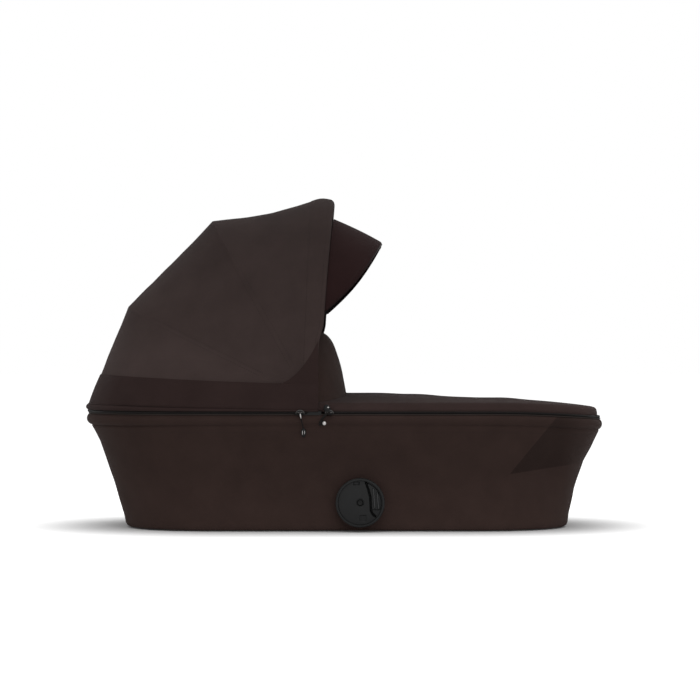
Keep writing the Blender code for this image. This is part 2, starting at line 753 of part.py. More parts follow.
def make_hub_plate(side, word, finish, plate_out, plate_back, inner_radius):
    centre = (HUB_X, HUB_HEIGHT)
    radius = inner_radius - FIT_GAP
    edge = HUB_LIP / 3
    plate = turned_solid(
        f"hub_plate_{word}",
        centre,
        ((plate_back, radius), (plate_out - edge, radius), (plate_out, radius - edge)),
        finish,
        side,
        HUB_SIDES,
    )
    pocket = prism_solid(
        f"release_pocket_{side}",
        centre,
        hub_outline(POCKET_OUTLINE_SHARES),
        (plate_out + OVERRUN, plate_back + RELEASE_FLOOR),
        side,
        None,
    )
    seat_radius = SCREW_SEAT_DIAMETER / 2
    seat_profile = ((plate_out + OVERRUN, seat_radius), (plate_out - SCREW_SEAT_DEPTH, seat_radius))
    seat = turned_solid(f"screw_seat_{side}", centre, seat_profile, None, side)
    bore = SCREW_DIAMETER / 2 + PIN_CLEARANCE
    hole_profile = ((plate_out + OVERRUN, bore), (plate_back - OVERRUN, bore))
    hole = turned_solid(f"plate_bore_{side}", centre, hole_profile, None, side)
    cut(plate, pocket)
    cut(plate, seat)
    cut(plate, hole)
    for label, shares in (("lower", LOWER_NOTCH_SHARES), ("upper", UPPER_NOTCH_SHARES)):
        notch_outs = (plate_out + OVERRUN, plate_out - NOTCH_DEPTH)
        outline = hub_outline(shares)
        cut(plate, prism_solid(f"{label}_notch_{side}", centre, outline, notch_outs, side, None))


def make_release(side, word, finish, metal, plate_out, plate_back):
    """A ribbed thumb slide that fills its pocket but for the travel left on its inner side."""
    centre = (HUB_X, HUB_HEIGHT)
    pocket = hub_outline(POCKET_OUTLINE_SHARES)
    gap = FIT_GAP
    top_left, top_right, upper_right, lower_right, lower_left = pocket
    outline = [
        (top_left[0] + RELEASE_GAP, top_left[1] - gap),
        (top_right[0] - gap, top_right[1] - gap),
        (upper_right[0] - gap, upper_right[1]),
        (lower_right[0] - gap, lower_right[1] + gap),
        (lower_left[0] + RELEASE_GAP, lower_left[1] + gap),
    ]
    origin = (HUB_X, side * plate_out, HUB_HEIGHT)
    base_out = plate_back + RELEASE_FLOOR + FIT_GAP
    face_out = plate_out - RELEASE_RIB_HEIGHT + RELEASE_PROUD
    release = prism_solid(f"hub_release_{word}", centre, outline, (base_out, face_out), side, finish)
    limit_profile = ((hub_face_out() + OVERRUN, HUB_DIAMETER), (hub_root_out(), HUB_DIAMETER))
    limit_radius = HUB_RADIUS - HUB_WALL - 2 * FIT_GAP
    limit = ring_cutter(f"release_limit_{side}", centre, limit_radius, limit_profile, side)
    for number, share in enumerate(RELEASE_RIB_SHARES):
        middle = blend(RELEASE_RIB_TOP_SHARE, RELEASE_RIB_BOTTOM_SHARE, 0.5) * HUB_RADIUS
        size = (RELEASE_RIB_WIDTH, (RELEASE_RIB_TOP_SHARE - RELEASE_RIB_BOTTOM_SHARE) * HUB_RADIUS)
        rib = sideways_box(
            f"release_rib_{side}_{number}",
            (HUB_X + share * HUB_RADIUS, HUB_HEIGHT + middle),
            size,
            side,
            (face_out - RELEASE_RIB_HEIGHT, plate_out + RELEASE_PROUD),
            None,
        )
        cut(release, rib, "UNION")
    cut(release, limit)
    release.data.transform(Matrix.Translation(-Vector(origin)))
    release.location = origin
    spring_outline = leaf_outline(top_left, lower_left)
    spring_outs = (base_out, base_out + SPRING_WIDTH)
    prism_solid(f"release_spring_{word}", centre, spring_outline, spring_outs, side, metal)


def leaf_outline(top, bottom):
    """A bowed leaf across the release's travel gap: its ends on the pocket's wall, its middle on the release."""
    steps = 8
    outer, inner = [], []
    for i in range(steps + 1):
        share = 0.2 + 0.6 * i / steps
        x = blend(top[0], bottom[0], share)
        z = blend(top[1], bottom[1], share)
        bow = (RELEASE_GAP - SPRING_STRIP - 2 * FIT_GAP) * sin(pi * i / steps)
        inner.append((x + FIT_GAP + bow, z))
        outer.append((x + FIT_GAP + bow + SPRING_STRIP, z))
    return inner + list(reversed(outer))


def ring_cutter(name, centre, inner, profile, side):
    """A thick ring that trims a piece to a round opening."""
    (far, outer), (near, _) = profile
    rings = []
    for a in turn_angles(HUB_SIDES):
        rings.append(
            [(centre[0] + r * cos(a), side * y, centre[1] + r * sin(a))
             for r, y in ((inner, near), (inner, far), (outer, far), (outer, near))]
        )
    return swept_solid(name, rings, None, closed=True)


def make_hub_screw(side, word, finish, plate_out):
    centre = (HUB_X, HUB_HEIGHT)
    seat = plate_out - SCREW_SEAT_DEPTH + FIT_GAP
    head = SCREW_HEAD_DIAMETER / 2
    profile = [(seat - SCREW_LENGTH, SCREW_DIAMETER / 2), (seat, SCREW_DIAMETER / 2)]
    profile += [(seat + SCREW_HEAD_HEIGHT * rise, head * round_) for rise, round_ in SCREW_HEAD_SHARES]
    turned_solid(f"hub_screw_{word}", centre, profile, finish, side)


def make_zip_chain(name, stations, tape, finish):
    """A coil along the rim's outer edge, with or without the tape that reaches in over the rim."""
    coil_in, coil_top = ZIP_COIL_WIDTH, ZIP_RISE + ZIP_COIL_HEIGHT
    outline = [(0.0, ZIP_RISE), (0.0, coil_top), (coil_in, coil_top)]
    if tape:
        tape_top = ZIP_RISE + ZIP_TAPE_THICKNESS
        outline += [(coil_in, tape_top), (ZIP_TAPE_WIDTH, tape_top), (ZIP_TAPE_WIDTH, ZIP_RISE)]
    else:
        outline += [(coil_in, ZIP_RISE)]
    rings = [[rim_point(s, inset, rise) for inset, rise in outline] for s in stations]
    swept_solid(name, rings, finish)


def make_zip_slider(name, x, side, pull_length, slider_finish, pull_finish, bead_finish):
    """A slider on the outside of the coil, and the cord pull that hangs from its bar."""
    middle = RIM_HEIGHT + ZIP_RISE + ZIP_COIL_HEIGHT / 2
    face = HALF_WIDTH + FIT_GAP
    plate_out = face + SLIDER_THICKNESS
    bar_out = plate_out + SLIDER_BAR_REACH
    origin = (x, side * bar_out, middle)
    slider = sideways_box(
        f"{name}_slider", (x, middle), (SLIDER_LENGTH, SLIDER_HEIGHT), side, (face, plate_out), slider_finish
    )
    half_gap = PULL_WIDTH / 2 + FIT_GAP
    for end in (-1, 1):
        post = sideways_box(
            f"{name}_post_{end}",
            (x + end * (half_gap + SLIDER_POST / 2), middle),
            (SLIDER_POST, SLIDER_BAR * 1.5),
            side,
            (plate_out - SLIDER_THICKNESS / 2, bar_out + SLIDER_BAR),
            None,
        )
        cut(slider, post, "UNION")
    bar = bar_solid(f"{name}_bar", x, side * bar_out, middle, half_gap + SLIDER_POST / 2, SLIDER_BAR / 2)
    cut(slider, bar, "UNION")
    slider.data.transform(Matrix.Translation(-Vector(origin)))
    slider.location = origin
    make_pull(name, x, side, bar_out, middle, pull_length, pull_finish, bead_finish)


def bar_solid(name, x, y, z, half_length, radius, finish=None):
    rings = [
        [(x + end * half_length, y + radius * cos(a), z + radius * sin(a)) for a in turn_angles(PIN_SIDES)]
        for end in (-1, 1)
    ]
    return swept_solid(name, rings, finish)


def make_pull(name, x, side, bar_out, top, length, finish, bead_finish):
    """A cord pull: an eye round the slider's bar, a flat cord and a metal end."""
    origin = (x, side * bar_out, top)
    radius = SLIDER_BAR / 2 + PIN_CLEARANCE + SLIDER_BAR
    cord_end = top - length + PULL_BEAD_LENGTH
    cord = sideways_box(
        f"{name}_pull_cord",
        (x, (top + cord_end) / 2),
        (PULL_WIDTH, top - cord_end),
        side,
        (bar_out - PULL_THICKNESS / 2, bar_out + PULL_THICKNESS / 2),
        finish,
    )
    eye = bar_solid(f"{name}_eye", x, side * bar_out, top, PULL_WIDTH / 2, radius)
    hole = bar_solid(f"{name}_eye_hole", x, side * bar_out, top, PULL_WIDTH, SLIDER_BAR / 2 + PIN_CLEARANCE)
    cut(cord, eye, "UNION")
    cut(cord, hole)
    cord.data.transform(Matrix.Translation(-Vector(origin)))
    cord.location = origin
    bead_top, bead_end = cord_end - FIT_GAP, top - length
    rings = []
    for fall, width in BEAD_SHARES:
        z, r = blend(bead_top, bead_end, fall), width * PULL_BEAD_DIAMETER / 2
        rings.append([(x + r * cos(a), side * bar_out + r * sin(a), z) for a in turn_angles(PIN_SIDES)])
    swept_solid(f"{name}_pull_end", rings, bead_finish, origin)


def arch_points(rise, radius, half_width, steps=ARCH_STEPS, lean=BOW_LEAN_SHARE):
    """A bow's half outline in its own plane, from the end of its leg to the crown, as (along, across)."""
    power = 2 / BOW_ROUNDNESS
    points = []
    for i in range(steps + 1):
        a = pi / 2 * i / steps
        share = sin(a) ** power
        across = half_width * (1 - lean * share) * max(cos(a), 0.0) ** power
        points.append((rise + (radius - rise) * share, across))
    return points


def full_arch(half):
    """The right half (-Y) up to the crown, then the left half down."""
    return [(r, -y) for r, y in half] + [(r, y) for r, y in reversed(half[:-1])]


def offset_outline(points, distance):
    return drawn_in(points, [distance] * len(points))


def drawn_in(points, distances):
    """The outline with each point moved inwards, towards the hood's middle, by its own distance."""
    moved = []
    for i, ((r, y), distance) in enumerate(zip(points, distances)):
        r0, y0 = points[max(i - 1, 0)]
        r1, y1 = points[min(i + 1, len(points) - 1)]
        length = ((r1 - r0) ** 2 + (y1 - y0) ** 2) ** 0.5
        moved.append((r + distance * -(y1 - y0) / length, y + distance * (r1 - r0) / length))
    return moved


def fan_point(angle, along, across, aside=0.0, pivot=None):
    """A point of a bow's plane in the model's frame. aside is square to the plane, towards the front."""
    px, pz = pivot or (PIVOT_X, PIVOT_HEIGHT)
    a = radians(angle)
    return px + along * cos(a) + aside * sin(a), across, pz + along * sin(a) - aside * cos(a)


def bow_bulge(along, radius, bulge):
    """How far a bow stands in front of its plane, most of all halfway up its legs."""
    return bulge * sin(pi * max(0.0, min(1.0, along / radius)))


def make_bow(
    name, angle, rise, radius, leg_out, width, thickness, finish, inset, pivot, eye, pin, lean, bulge=0.0
):
    """A flat strip bent into an arch, with an eye at each end on the pivot axis. It may bulge to the front."""
    half = arch_points(rise, radius - inset, leg_out, lean=lean)
    arch = [(0.0, -leg_out), (rise / 2, -leg_out)] + full_arch(half) + [(rise / 2, leg_out), (0.0, leg_out)]
    outer = offset_outline(arch, EYE_PROUD - thickness / 2)
    inner = offset_outline(arch, thickness / 2 - EYE_PROUD)
    rings = []
    for (ro, yo), (ri, yi) in zip(outer, inner):
        corners = ((ro, yo, -1), (ro, yo, 1), (ri, yi, 1), (ri, yi, -1))
        forward = bow_bulge(ro, radius, bulge)
        rings.append([fan_point(angle, r, y, forward + s * width / 2, pivot) for r, y, s in corners])
    origin = (pivot[0], 0.0, pivot[1])
    bow = swept_solid(name, rings, finish)
    for side in (-1, 1):
        outs = (leg_out + thickness / 2, leg_out - thickness / 2)
        disc = turned_solid(f"{name}_eye_{side}", pivot, [(y, eye / 2) for y in outs], None, side)
        cut(bow, disc, "UNION")
        bore = pin / 2 + PIN_CLEARANCE
        hole_profile = ((leg_out + thickness, bore), (leg_out - thickness, bore))
        hole = turned_solid(f"{name}_hole_{side}", pivot, hole_profile, None, side)
        cut(bow, hole)
    return bow, origin


def set_origin(made, origin):
    made.data.transform(Matrix.Translation(-Vector(origin)))
    made.location = origin


def bow_outs():
    """How far out each bow's legs are. They stack on the pin, the front bow outside and the rear bow inside."""
    first = HALF_WIDTH - HOOD_FABRIC - FIT_GAP - PIVOT_HEAD_THICKNESS - EYE_GAP - BOW_STRIP_THICKNESS / 2
    step = BOW_STRIP_THICKNESS + EYE_GAP
    return {"front": first, "middle": first - step, "rear": first - 2 * step}


def make_bows(finish):
    outs = bow_outs()
    pivot = (PIVOT_X, PIVOT_HEIGHT)
    common = (BOW_STRIP_THICKNESS, finish, BOW_INSET, pivot, EYE_DIAMETER, PIVOT_PIN_DIAMETER, BOW_LEAN_SHARE)
    bows = (
        ("rear", REAR_BOW_ANGLE, REAR_BOW_RISE, REAR_BOW_RADIUS, BOW_STRIP_WIDTH),
        ("middle", MIDDLE_BOW_ANGLE, MIDDLE_BOW_RISE, MIDDLE_BOW_RADIUS, BOW_STRIP_WIDTH),
        ("front", FRONT_BOW_ANGLE, FRONT_BOW_RISE, FRONT_BOW_RADIUS, FRONT_STRIP_WIDTH),
    )
    for word, angle, rise, radius, width in bows:
        bow, origin = make_bow(f"{word}_bow", angle, rise, radius, outs[word], width, *common)
        if word == "front":
            add_visor_lugs(bow)
        set_origin(bow, origin)


def visor_pivot():
    x, _, z = fan_point(FRONT_BOW_ANGLE, VISOR_ALONG, 0.0, VISOR_FORWARD)
    return x, z


def front_leg_out(along):
    """How far out the front bow's strip is at a distance from the pivot, between the points of its arch."""
    points = arch_points(FRONT_BOW_RISE, FRONT_BOW_RADIUS - BOW_INSET, bow_outs()["front"])
    for (r0, y0), (r1, y1) in zip(points, points[1:]):
        if r0 <= along <= r1:
            return blend(y0, y1, (along - r0) / (r1 - r0))
    return points[0][1]


def lug_out():
    return front_leg_out(VISOR_ALONG + VISOR_EYE_DIAMETER / 2) - VISOR_LUG_SINK


def visor_leg_out():
    return lug_out() - BOW_STRIP_THICKNESS / 2 - EYE_GAP - VISOR_STRIP_THICKNESS / 2


def add_visor_lugs(front_bow):
    """Ears on the front bow that reach forward to the visor's pivots."""
    t = BOW_STRIP_THICKNESS
    half = VISOR_EYE_DIAMETER / 2
    for side in (-1, 1):
        outs = (lug_out() + t / 2, lug_out() - t / 2)
        tip = [(half * cos(a), half * sin(a)) for a in (pi * i / 12 for i in range(13))]
        outline = [(VISOR_ALONG + r, VISOR_FORWARD + f) for r, f in tip]
        outline += [(VISOR_ALONG - half, 0.0), (VISOR_ALONG + half, 0.0)]
        rings = [[fan_point(FRONT_BOW_ANGLE, r, side * y, f) for r, f in outline] for y in outs]
        cut(front_bow, swept_solid(f"visor_lug_{side}", rings, None), "UNION")
        hole_outs = (lug_out() + t, lug_out() - t)
        radius = VISOR_PIN_DIAMETER / 2 + PIN_CLEARANCE
        profile = [(y, radius) for y in hole_outs]
        cut(front_bow, turned_solid(f"visor_lug_hole_{side}", visor_pivot(), profile, None, side))


def make_visor(bow_finish, fabric_finish, metal):
    pivot = visor_pivot()
    t = VISOR_STRIP_THICKNESS
    bow, origin = make_bow(
        "visor_bow", VISOR_ANGLE, VISOR_EYE_DIAMETER, VISOR_RADIUS, visor_leg_out(), VISOR_STRIP_WIDTH, t,
        bow_finish, t / 2, pivot, VISOR_EYE_DIAMETER, VISOR_PIN_DIAMETER, VISOR_LEAN_SHARE, VISOR_BULGE,
    )
    set_origin(bow, origin)
    for side in (-1, 1):
        out = lug_out() + BOW_STRIP_THICKNESS / 2 + EYE_GAP
        inner = visor_leg_out() - t / 2 - EYE_GAP
        head = VISOR_PIN_HEAD / 2
        shaft = VISOR_PIN_DIAMETER / 2
        cap = VISOR_PIN_CAP
        outer_end = ((out + cap, head), (out, head), (out, shaft))
        profile = (*outer_end, (inner, shaft), (inner, head), (inner - cap, head))
        word = "right" if side < 0 else "left"
        turned_solid(f"visor_pin_{word}", pivot, profile, metal, side)
    make_visor_fabric(fabric_finish, pivot)


def make_visor_fabric(finish, pivot):
    """Cloth from the front hem's leading edge out to the visor's bow."""
    gap = HOOD_FABRIC + VISOR_FABRIC_GAP
    steps = 2 * ARCH_STEPS
    start = VISOR_FABRIC_START
    hoop = full_arch(arch_points(start, VISOR_RADIUS + gap, visor_leg_out() + gap, lean=VISOR_LEAN_SHARE))
    hoop = resample(hoop, steps)
    fine = 8 * ARCH_STEPS
    insets = [VISOR_FABRIC_INSET + VISOR_CROWN_DROP * crown_share(k, fine) ** 2 for k in range(fine + 1)]
    hem = drawn_in(resample(full_arch(hem_arch()), fine), insets)
    kept = [k for k, point in enumerate(hem) if point[0] >= VISOR_ALONG + start]
    rows = []
    for share in (0.0, 0.35, 0.7, 1.0):
        row = []
        for i, (along, across) in enumerate(hoop):
            k = round(blend(kept[0], kept[-1], i / steps))
            fore = HEM_FORE + HEM_CROWN_FORE * crown_share(k, fine)
            first = Vector(fan_point(FRONT_BOW_ANGLE, *hem[k], fore + VISOR_FABRIC_GAP))
            forward = bow_bulge(along, VISOR_RADIUS, VISOR_BULGE)
            last = Vector(fan_point(VISOR_ANGLE, along, across, forward, pivot))
            row.append(first.lerp(last, share))
        rows.append(row)
    sheet_solid("visor_fabric", rows, HOOD_FABRIC, finish, (1, 0, 1))


def crease_height(x):
    """The band's top edge, which rises a little towards the head end."""
    far_end = -RIM_LENGTH / 2 + BAND_HEAD_LEAN
    share = max(0.0, min(1.0, (BAND_START - x) / (BAND_START - far_end)))
    return PIVOT_HEIGHT + blend(BAND_SIDE_RISE, BAND_HEAD_RISE, share)


def crease_points(start, inset=0.0):
    """The seam between band and canopy, from the right side round the head end to the left side."""
    points = []
    for s in head_stations(start):
        x, y, _ = rim_point(s, inset, 0.0, BAND_HEAD_LEAN)
        points.append((x, y, crease_height(x)))
    return points


def make_band(finish):
    """The upright band of fabric between the rim's zip and the canopy."""
    stations = head_stations(BAND_START)
    rings = []
    for s, top in zip(stations, crease_points(BAND_START)):
        t = HOOD_FABRIC
        low_out = rim_point(s, 0.0, FABRIC_RISE)
        low_in = rim_point(s, t, FABRIC_RISE)
        top_in = rim_point(s, t, 0.0, BAND_HEAD_LEAN)
        rings.append([low_out, top, (top_in[0], top_in[1], top[2]), low_in])
    swept_solid("hood_band", rings, finish)


def make_gussets(finish):
    """The flat corner of fabric under the canopy's front end, on each side."""
    low = RIM_HEIGHT + FABRIC_RISE
    back = BAND_START + FIT_GAP
    front = PIVOT_X + GUSSET_FRONT
    front_top, back_top = PIVOT_HEIGHT + FRONT_BOW_RISE, PIVOT_HEIGHT + BAND_SIDE_RISE
    outline = ((back, low), (front, low), (front, front_top), (back, back_top))
    outs = (HALF_WIDTH, HALF_WIDTH - HOOD_FABRIC)
    for side, word in ((-1, "right"), (1, "left")):
        prism_solid(f"hood_gusset_{word}", (0.0, 0.0), outline, outs, side, finish)


def canopy_arch(angle, rise, radius, aside, crown_drop=0.0):
    """Where a canopy panel ends, beside a bow's plane, lower at the crown where the hem's back edge is."""
    steps = 2 * ARCH_STEPS
    arch = resample(full_arch(arch_points(rise, radius, HALF_WIDTH - HOOD_FABRIC)), steps)
    arch = drawn_in(arch, [crown_drop * crown_share(i, steps) for i in range(steps + 1)])
    return [fan_point(angle, r, y, aside) for r, y in arch]


def resample(points, steps):
    """Points at equal spacing along an outline."""
    array = np.array(points, float)
    lengths = np.concatenate([[0.0], np.cumsum(np.linalg.norm(np.diff(array, axis=0), axis=1))])
    wanted = np.linspace(0.0, lengths[-1], steps + 1)
    return [tuple(np.interp(w, lengths, array[:, k]) for k in range(array.shape[1])) for w in wanted]


def canopy_rows(first, last, sag, rows=5):
    """Rows of a panel drawn tight between two curves, sagging inwards by sag in the middle."""
    centre = Vector((PIVOT_X, 0.0, PIVOT_HEIGHT))
    grid = []
    for i in range(rows):
        share = i / (rows - 1)
        row = []
        for j, (p, q) in enumerate(zip(first, last)):
            point = Vector(p).lerp(Vector(q), share)
            fullness = sin(pi * j / (len(first) - 1)) ** 4
            inward = (centre - point).normalized()
            row.append(point + inward * sag * sin(pi * share) * fullness)
        grid.append(row)
    return grid


def make_canopy(finish):
    """Three panels: from the band to the rear bow, on to the middle bow, and on to the front hem."""
    start = PIVOT_X - REAR_BOW_RISE * cos(radians(180 - REAR_BOW_ANGLE)) - OVERRUN
    seam = resample([(x, y, z + FIT_GAP) for x, y, z in crease_points(start, HOOD_FABRIC)], 2 * ARCH_STEPS)
    rear = (REAR_BOW_ANGLE, REAR_BOW_RISE, REAR_BOW_RADIUS)
    middle = (MIDDLE_BOW_ANGLE, MIDDLE_BOW_RISE, MIDDLE_BOW_RADIUS)
    front = (FRONT_BOW_ANGLE, FRONT_BOW_RISE, FRONT_BOW_RADIUS)
    rear_low, rear_high = canopy_arch(*rear, -PANEL_GAP), canopy_arch(*rear, PANEL_GAP)
    middle_low, middle_high = canopy_arch(*middle, -PANEL_GAP), canopy_arch(*middle, PANEL_GAP)
    front_low = canopy_arch(*front, -HEM_BACK - 2 * PANEL_GAP, HEM_BACK_DROP)
    outward = (-1, 0, 1)
    sheet_solid("canopy_rear", canopy_rows(seam, rear_low, 0.0), HOOD_FABRIC, finish, outward)
    sheet_solid("canopy_middle", canopy_rows(rear_high, middle_low, 0.0), HOOD_FABRIC, finish, outward)
    top_rows = canopy_rows(middle_high, front_low, CANOPY_SAG)
    sheet_solid("canopy_top", top_rows, HOOD_FABRIC, finish, (0, 0, 1))


def crown_share(i, steps):
    """How near a point of an arch is to its crown: 0 at its ends and 1 at the crown."""
    return sin(pi * i / steps) ** 2


def hem_arch():
    return arch_points(FRONT_BOW_RISE, FRONT_BOW_RADIUS, HALF_WIDTH - HOOD_FABRIC)


def make_front_hem(finish):
    """Fabric folded round the front bow: over it, down its front and a little way under."""
    steps = 2 * ARCH_STEPS
    arch = resample(full_arch(hem_arch()), steps)
    origin = (PIVOT_X, 0.0, PIVOT_HEIGHT)
    columns = []
    for i in range(len(arch)):
        crown = crown_share(i, steps)
        depth = blend(HEM_SIDE_DEPTH, HEM_CROWN_DEPTH, crown * crown)
        corner = blend(HEM_SIDE_CORNER, HEM_CROWN_CORNER, crown)
        fore = HEM_FORE + HEM_CROWN_FORE * crown
        top = ((-HEM_BACK, HEM_BACK_DROP * crown), (-FRONT_STRIP_WIDTH / 2, 0.0), (fore - corner, 0.0))
        section = (*top, (fore - corner / 4, corner / 3), (fore, corner), (fore - corner / 4, depth))
        columns.append([(aside, offset_outline(arch, inward)[i]) for aside, inward in section])
    rows = [[fan_point(FRONT_BOW_ANGLE, p[0], p[1], aside) for aside, p in column] for column in columns]
    sheet_solid("front_hem", rows, HOOD_FABRIC, finish, (0, 0, 1), origin)


def make_hinges(bracket_finish, pin_finish):
    """A saddle on the joint of the rim tubes, with an upright plate, and the pin that carries the bows."""
    outs = bow_outs()
    plate_out = outs["rear"] - BOW_STRIP_THICKNESS / 2 - EYE_GAP
    plate_in = plate_out - BRACKET_PLATE
    saddle_in = HALF_WIDTH - TUBE_INNER_INSET - FIT_GAP - BRACKET_SIDE
    saddle_out = HALF_WIDTH - ZIP_COIL_WIDTH - FIT_GAP
    bottom = RIM_HEIGHT + TUBE_RADIUS + FIT_GAP
    middle_x = PIVOT_X + (BRACKET_FRONT - BRACKET_BACK) / 2
    length = BRACKET_FRONT + BRACKET_BACK
    for side, word in ((-1, "right"), (1, "left")):
        saddle = sideways_box(
            f"hinge_bracket_{word}", (middle_x, bottom + BRACKET_TOP / 2), (length, BRACKET_TOP), side,
            (saddle_in, saddle_out), bracket_finish,
        )
        flange_height = BRACKET_DEPTH + BRACKET_TOP / 2
        flange = sideways_box(
            f"bracket_flange_{side}", (middle_x, bottom + (BRACKET_TOP - flange_height) / 2),
            (length, flange_height), side, (saddle_in, saddle_in + BRACKET_SIDE), None,
        )
        radius = BRACKET_PLATE_RADIUS
        plate_low = bottom + BRACKET_TOP / 2
        plate = sideways_box(
            f"bracket_plate_{side}", (PIVOT_X, (plate_low + PIVOT_HEIGHT) / 2),
            (2 * radius, PIVOT_HEIGHT - plate_low), side, (plate_in, plate_out), None,
        )
        top_profile = [(plate_out, radius), (plate_in, radius)]
        top = turned_solid(f"bracket_top_{side}", (PIVOT_X, PIVOT_HEIGHT), top_profile, None, side)
        bore = PIVOT_PIN_DIAMETER / 2 + PIN_CLEARANCE
        hole_profile = [(plate_out + OVERRUN, bore), (plate_in - OVERRUN, bore)]
        hole = turned_solid(f"bracket_hole_{side}", (PIVOT_X, PIVOT_HEIGHT), hole_profile, None, side)
        for helper in (flange, plate, top):
            cut(saddle, helper, "UNION")
        cut(saddle, hole)
        head_in = outs["front"] + BOW_STRIP_THICKNESS / 2 + EYE_GAP
        shaft, head = PIVOT_PIN_DIAMETER / 2, PIVOT_HEAD_DIAMETER / 2
        back = plate_in - EYE_GAP
        cap = PIVOT_HEAD_THICKNESS
        profile = (
            *((head_in + cap * rise, head * width) for rise, width in PIN_HEAD_SHARES),
            (head_in, head), (head_in, shaft), (back, shaft), (back, head), (back - cap, head),
        )
        turned_solid(f"hood_pivot_{word}", (PIVOT_X, PIVOT_HEIGHT), profile, pin_finish, side)


def apron_border_x(share):
    """Where the apron's head edge is, at a share of the way in from the side."""
    bows = [blend(APRON_SIDE_START, APRON_MIDDLE_START, 1 - (1 - s) ** 3) for s in APRON_ROW_SHARES]
    return np.interp(share, APRON_ROW_SHARES, bows)


def apron_point(station, share, rise, inset):
    """A point of the apron: share runs from the rim in to its spine."""
    along, end, across = station
    x, y, z = rim_point(station, inset, rise)
    start = apron_border_x(share)
    if end == 0:
        stretch = (x - APRON_SIDE_START) / (RIM_STRAIGHT - APRON_SIDE_START)
        x = blend(start, RIM_STRAIGHT, stretch)
    spine_x = min(x, APRON_SPINE_END)
    spine = (spine_x, 0.0, RIM_HEIGHT + rise)
    point = Vector((x, y, z)).lerp(Vector(spine), share)
    spine_drop = RIM_FOOT_DROP * (spine_x - APRON_MIDDLE_START) / RIM_LENGTH
    point.z = blend(z, RIM_HEIGHT + rise - spine_drop, share)
    point.z += APRON_CROWN * (1 - (1 - share) ** 2)
    return point


def make_apron(finish):
    """The foot cover: a short skirt on the zip's tape, a rounded edge and a low crown."""
    stations = foot_stations(APRON_SIDE_START)
    low = ZIP_RISE + ZIP_TAPE_THICKNESS + FIT_GAP
    top = low + APRON_SKIRT
    corner = APRON_CORNER
    rows = [[apron_point(s, 0.0, low, APRON_INSET) for s in stations]]
    for share in (0.0, 0.5, 1.0):
        turn = share * pi / 2
        inset = APRON_INSET + corner * (1 - cos(turn))
        rows.append([apron_point(s, 0.0, top + corner * sin(turn), inset) for s in stations])
    for share in APRON_ROW_SHARES[1:]:
        rows.append([apron_point(s, share, top + corner, APRON_INSET + corner) for s in stations])
    sheet_solid("apron", rows, APRON_THICKNESS, finish, (0, 0, 1))


def apron_top(share):
    """Height of the apron's head edge at a share of the way in from the side."""
    low = RIM_HEIGHT + ZIP_RISE + ZIP_TAPE_THICKNESS + FIT_GAP + APRON_SKIRT + APRON_CORNER
    crowns = [APRON_CROWN * (1 - (1 - s) ** 2) for s in APRON_ROW_SHARES]
    return low + np.interp(share, APRON_ROW_SHARES, crowns)


def make_wind_flap(finish):
    """The flap that stands up from the apron's head edge into the hood."""
    steps = 20
    rows = []
    hinge = (APRON_MIDDLE_START, 0.0, flap_hinge_height())
    for level in range(7):
        up = level / 6
        row = []
        for i in range(steps + 1):
            across = -1 + 2 * i / steps
            share = 1 - abs(across) * FLAP_HALF_WIDTH / (HALF_WIDTH - APRON_INSET - APRON_CORNER)
            base_x = apron_border_x(share) - FLAP_BASE_GAP
            base_z = apron_top(share) - APRON_THICKNESS / 2
            height = blend(FLAP_HEIGHT, FLAP_SIDE_HEIGHT, abs(across) ** 2.5)
            lean = FLAP_LEAN * (0.75 * up + 0.25 * up**3)
            wrap = FLAP_WRAP * abs(across) ** 3 * up
            rise = height * sin(up * pi / 2) ** FLAP_RISE_POWER
            row.append((base_x - lean - wrap, across * FLAP_HALF_WIDTH, base_z + rise))
        rows.append(row)
    sheet_solid("wind_flap", rows, FLAP_THICKNESS, finish, (1, 0, 0), hinge)


def flap_hinge_height():
    return apron_top(1.0)


def clear_scene():
    for old in list(bpy.data.objects):
        bpy.data.objects.remove(old)


def build():
    clear_scene()
    fabric = make_material("hood_fabric", (0.028, 0.018, 0.016), 0.85)
    cover_fabric = make_material("cover_fabric", (0.026, 0.017, 0.015), 0.85)
    lining_fabric = make_material("lining_fabric", (0.030, 0.024, 0.022), 0.90)
    mattress_fabric = make_material("mattress_fabric", (0.60, 0.58, 0.55), 0.90)
    zip_tape = make_material("zip_tape", (0.012, 0.010, 0.010), 0.70)
    black_plastic = make_material("hub_plastic", (0.018, 0.019, 0.019), 0.45)
    tray_plastic = make_material("tray_plastic", (0.020, 0.020, 0.021), 0.50)
    rubber = make_material("foot_rubber", (0.010, 0.010, 0.010), 0.80)
    steel = make_material("steel", (0.55, 0.55, 0.56), 0.30, 1.0)
    aluminium = make_material("aluminium", (0.62, 0.62, 0.64), 0.35, 1.0)
    make_cover(cover_fabric)
    make_tray(tray_plastic)
    make_foot_pads(rubber)
    make_lining(lining_fabric)
    make_mattress(mattress_fabric)
    make_rim_tubes(aluminium)
    make_end_frame("end_frame_head", -1, steel)
    make_end_frame("end_frame_foot", 1, steel)
    for side in (-1, 1):
        make_side_bracket(side, tray_plastic)
        make_hub(side, black_plastic, black_plastic, steel)
        word = "right" if side < 0 else "left"
        make_zip_slider(f"hood_zip_{word}", HOOD_SLIDER_X, side, HOOD_PULL_LENGTH, steel, zip_tape, steel)
        make_zip_slider(f"apron_zip_{word}", APRON_SLIDER_X, side, APRON_PULL_LENGTH, steel, zip_tape, steel)
    make_zip_chain("hood_zip_chain", head_stations(HOOD_ZIP_START), False, zip_tape)
    make_zip_chain("apron_zip_chain", foot_stations(APRON_ZIP_START), True, zip_tape)
    make_hinges(black_plastic, steel)
    make_bows(black_plastic)
    make_band(fabric)
    make_gussets(fabric)
    make_canopy(fabric)
    make_front_hem(fabric)
    make_visor(black_plastic, fabric, steel)
    make_apron(fabric)
    make_wind_flap(fabric)


build()
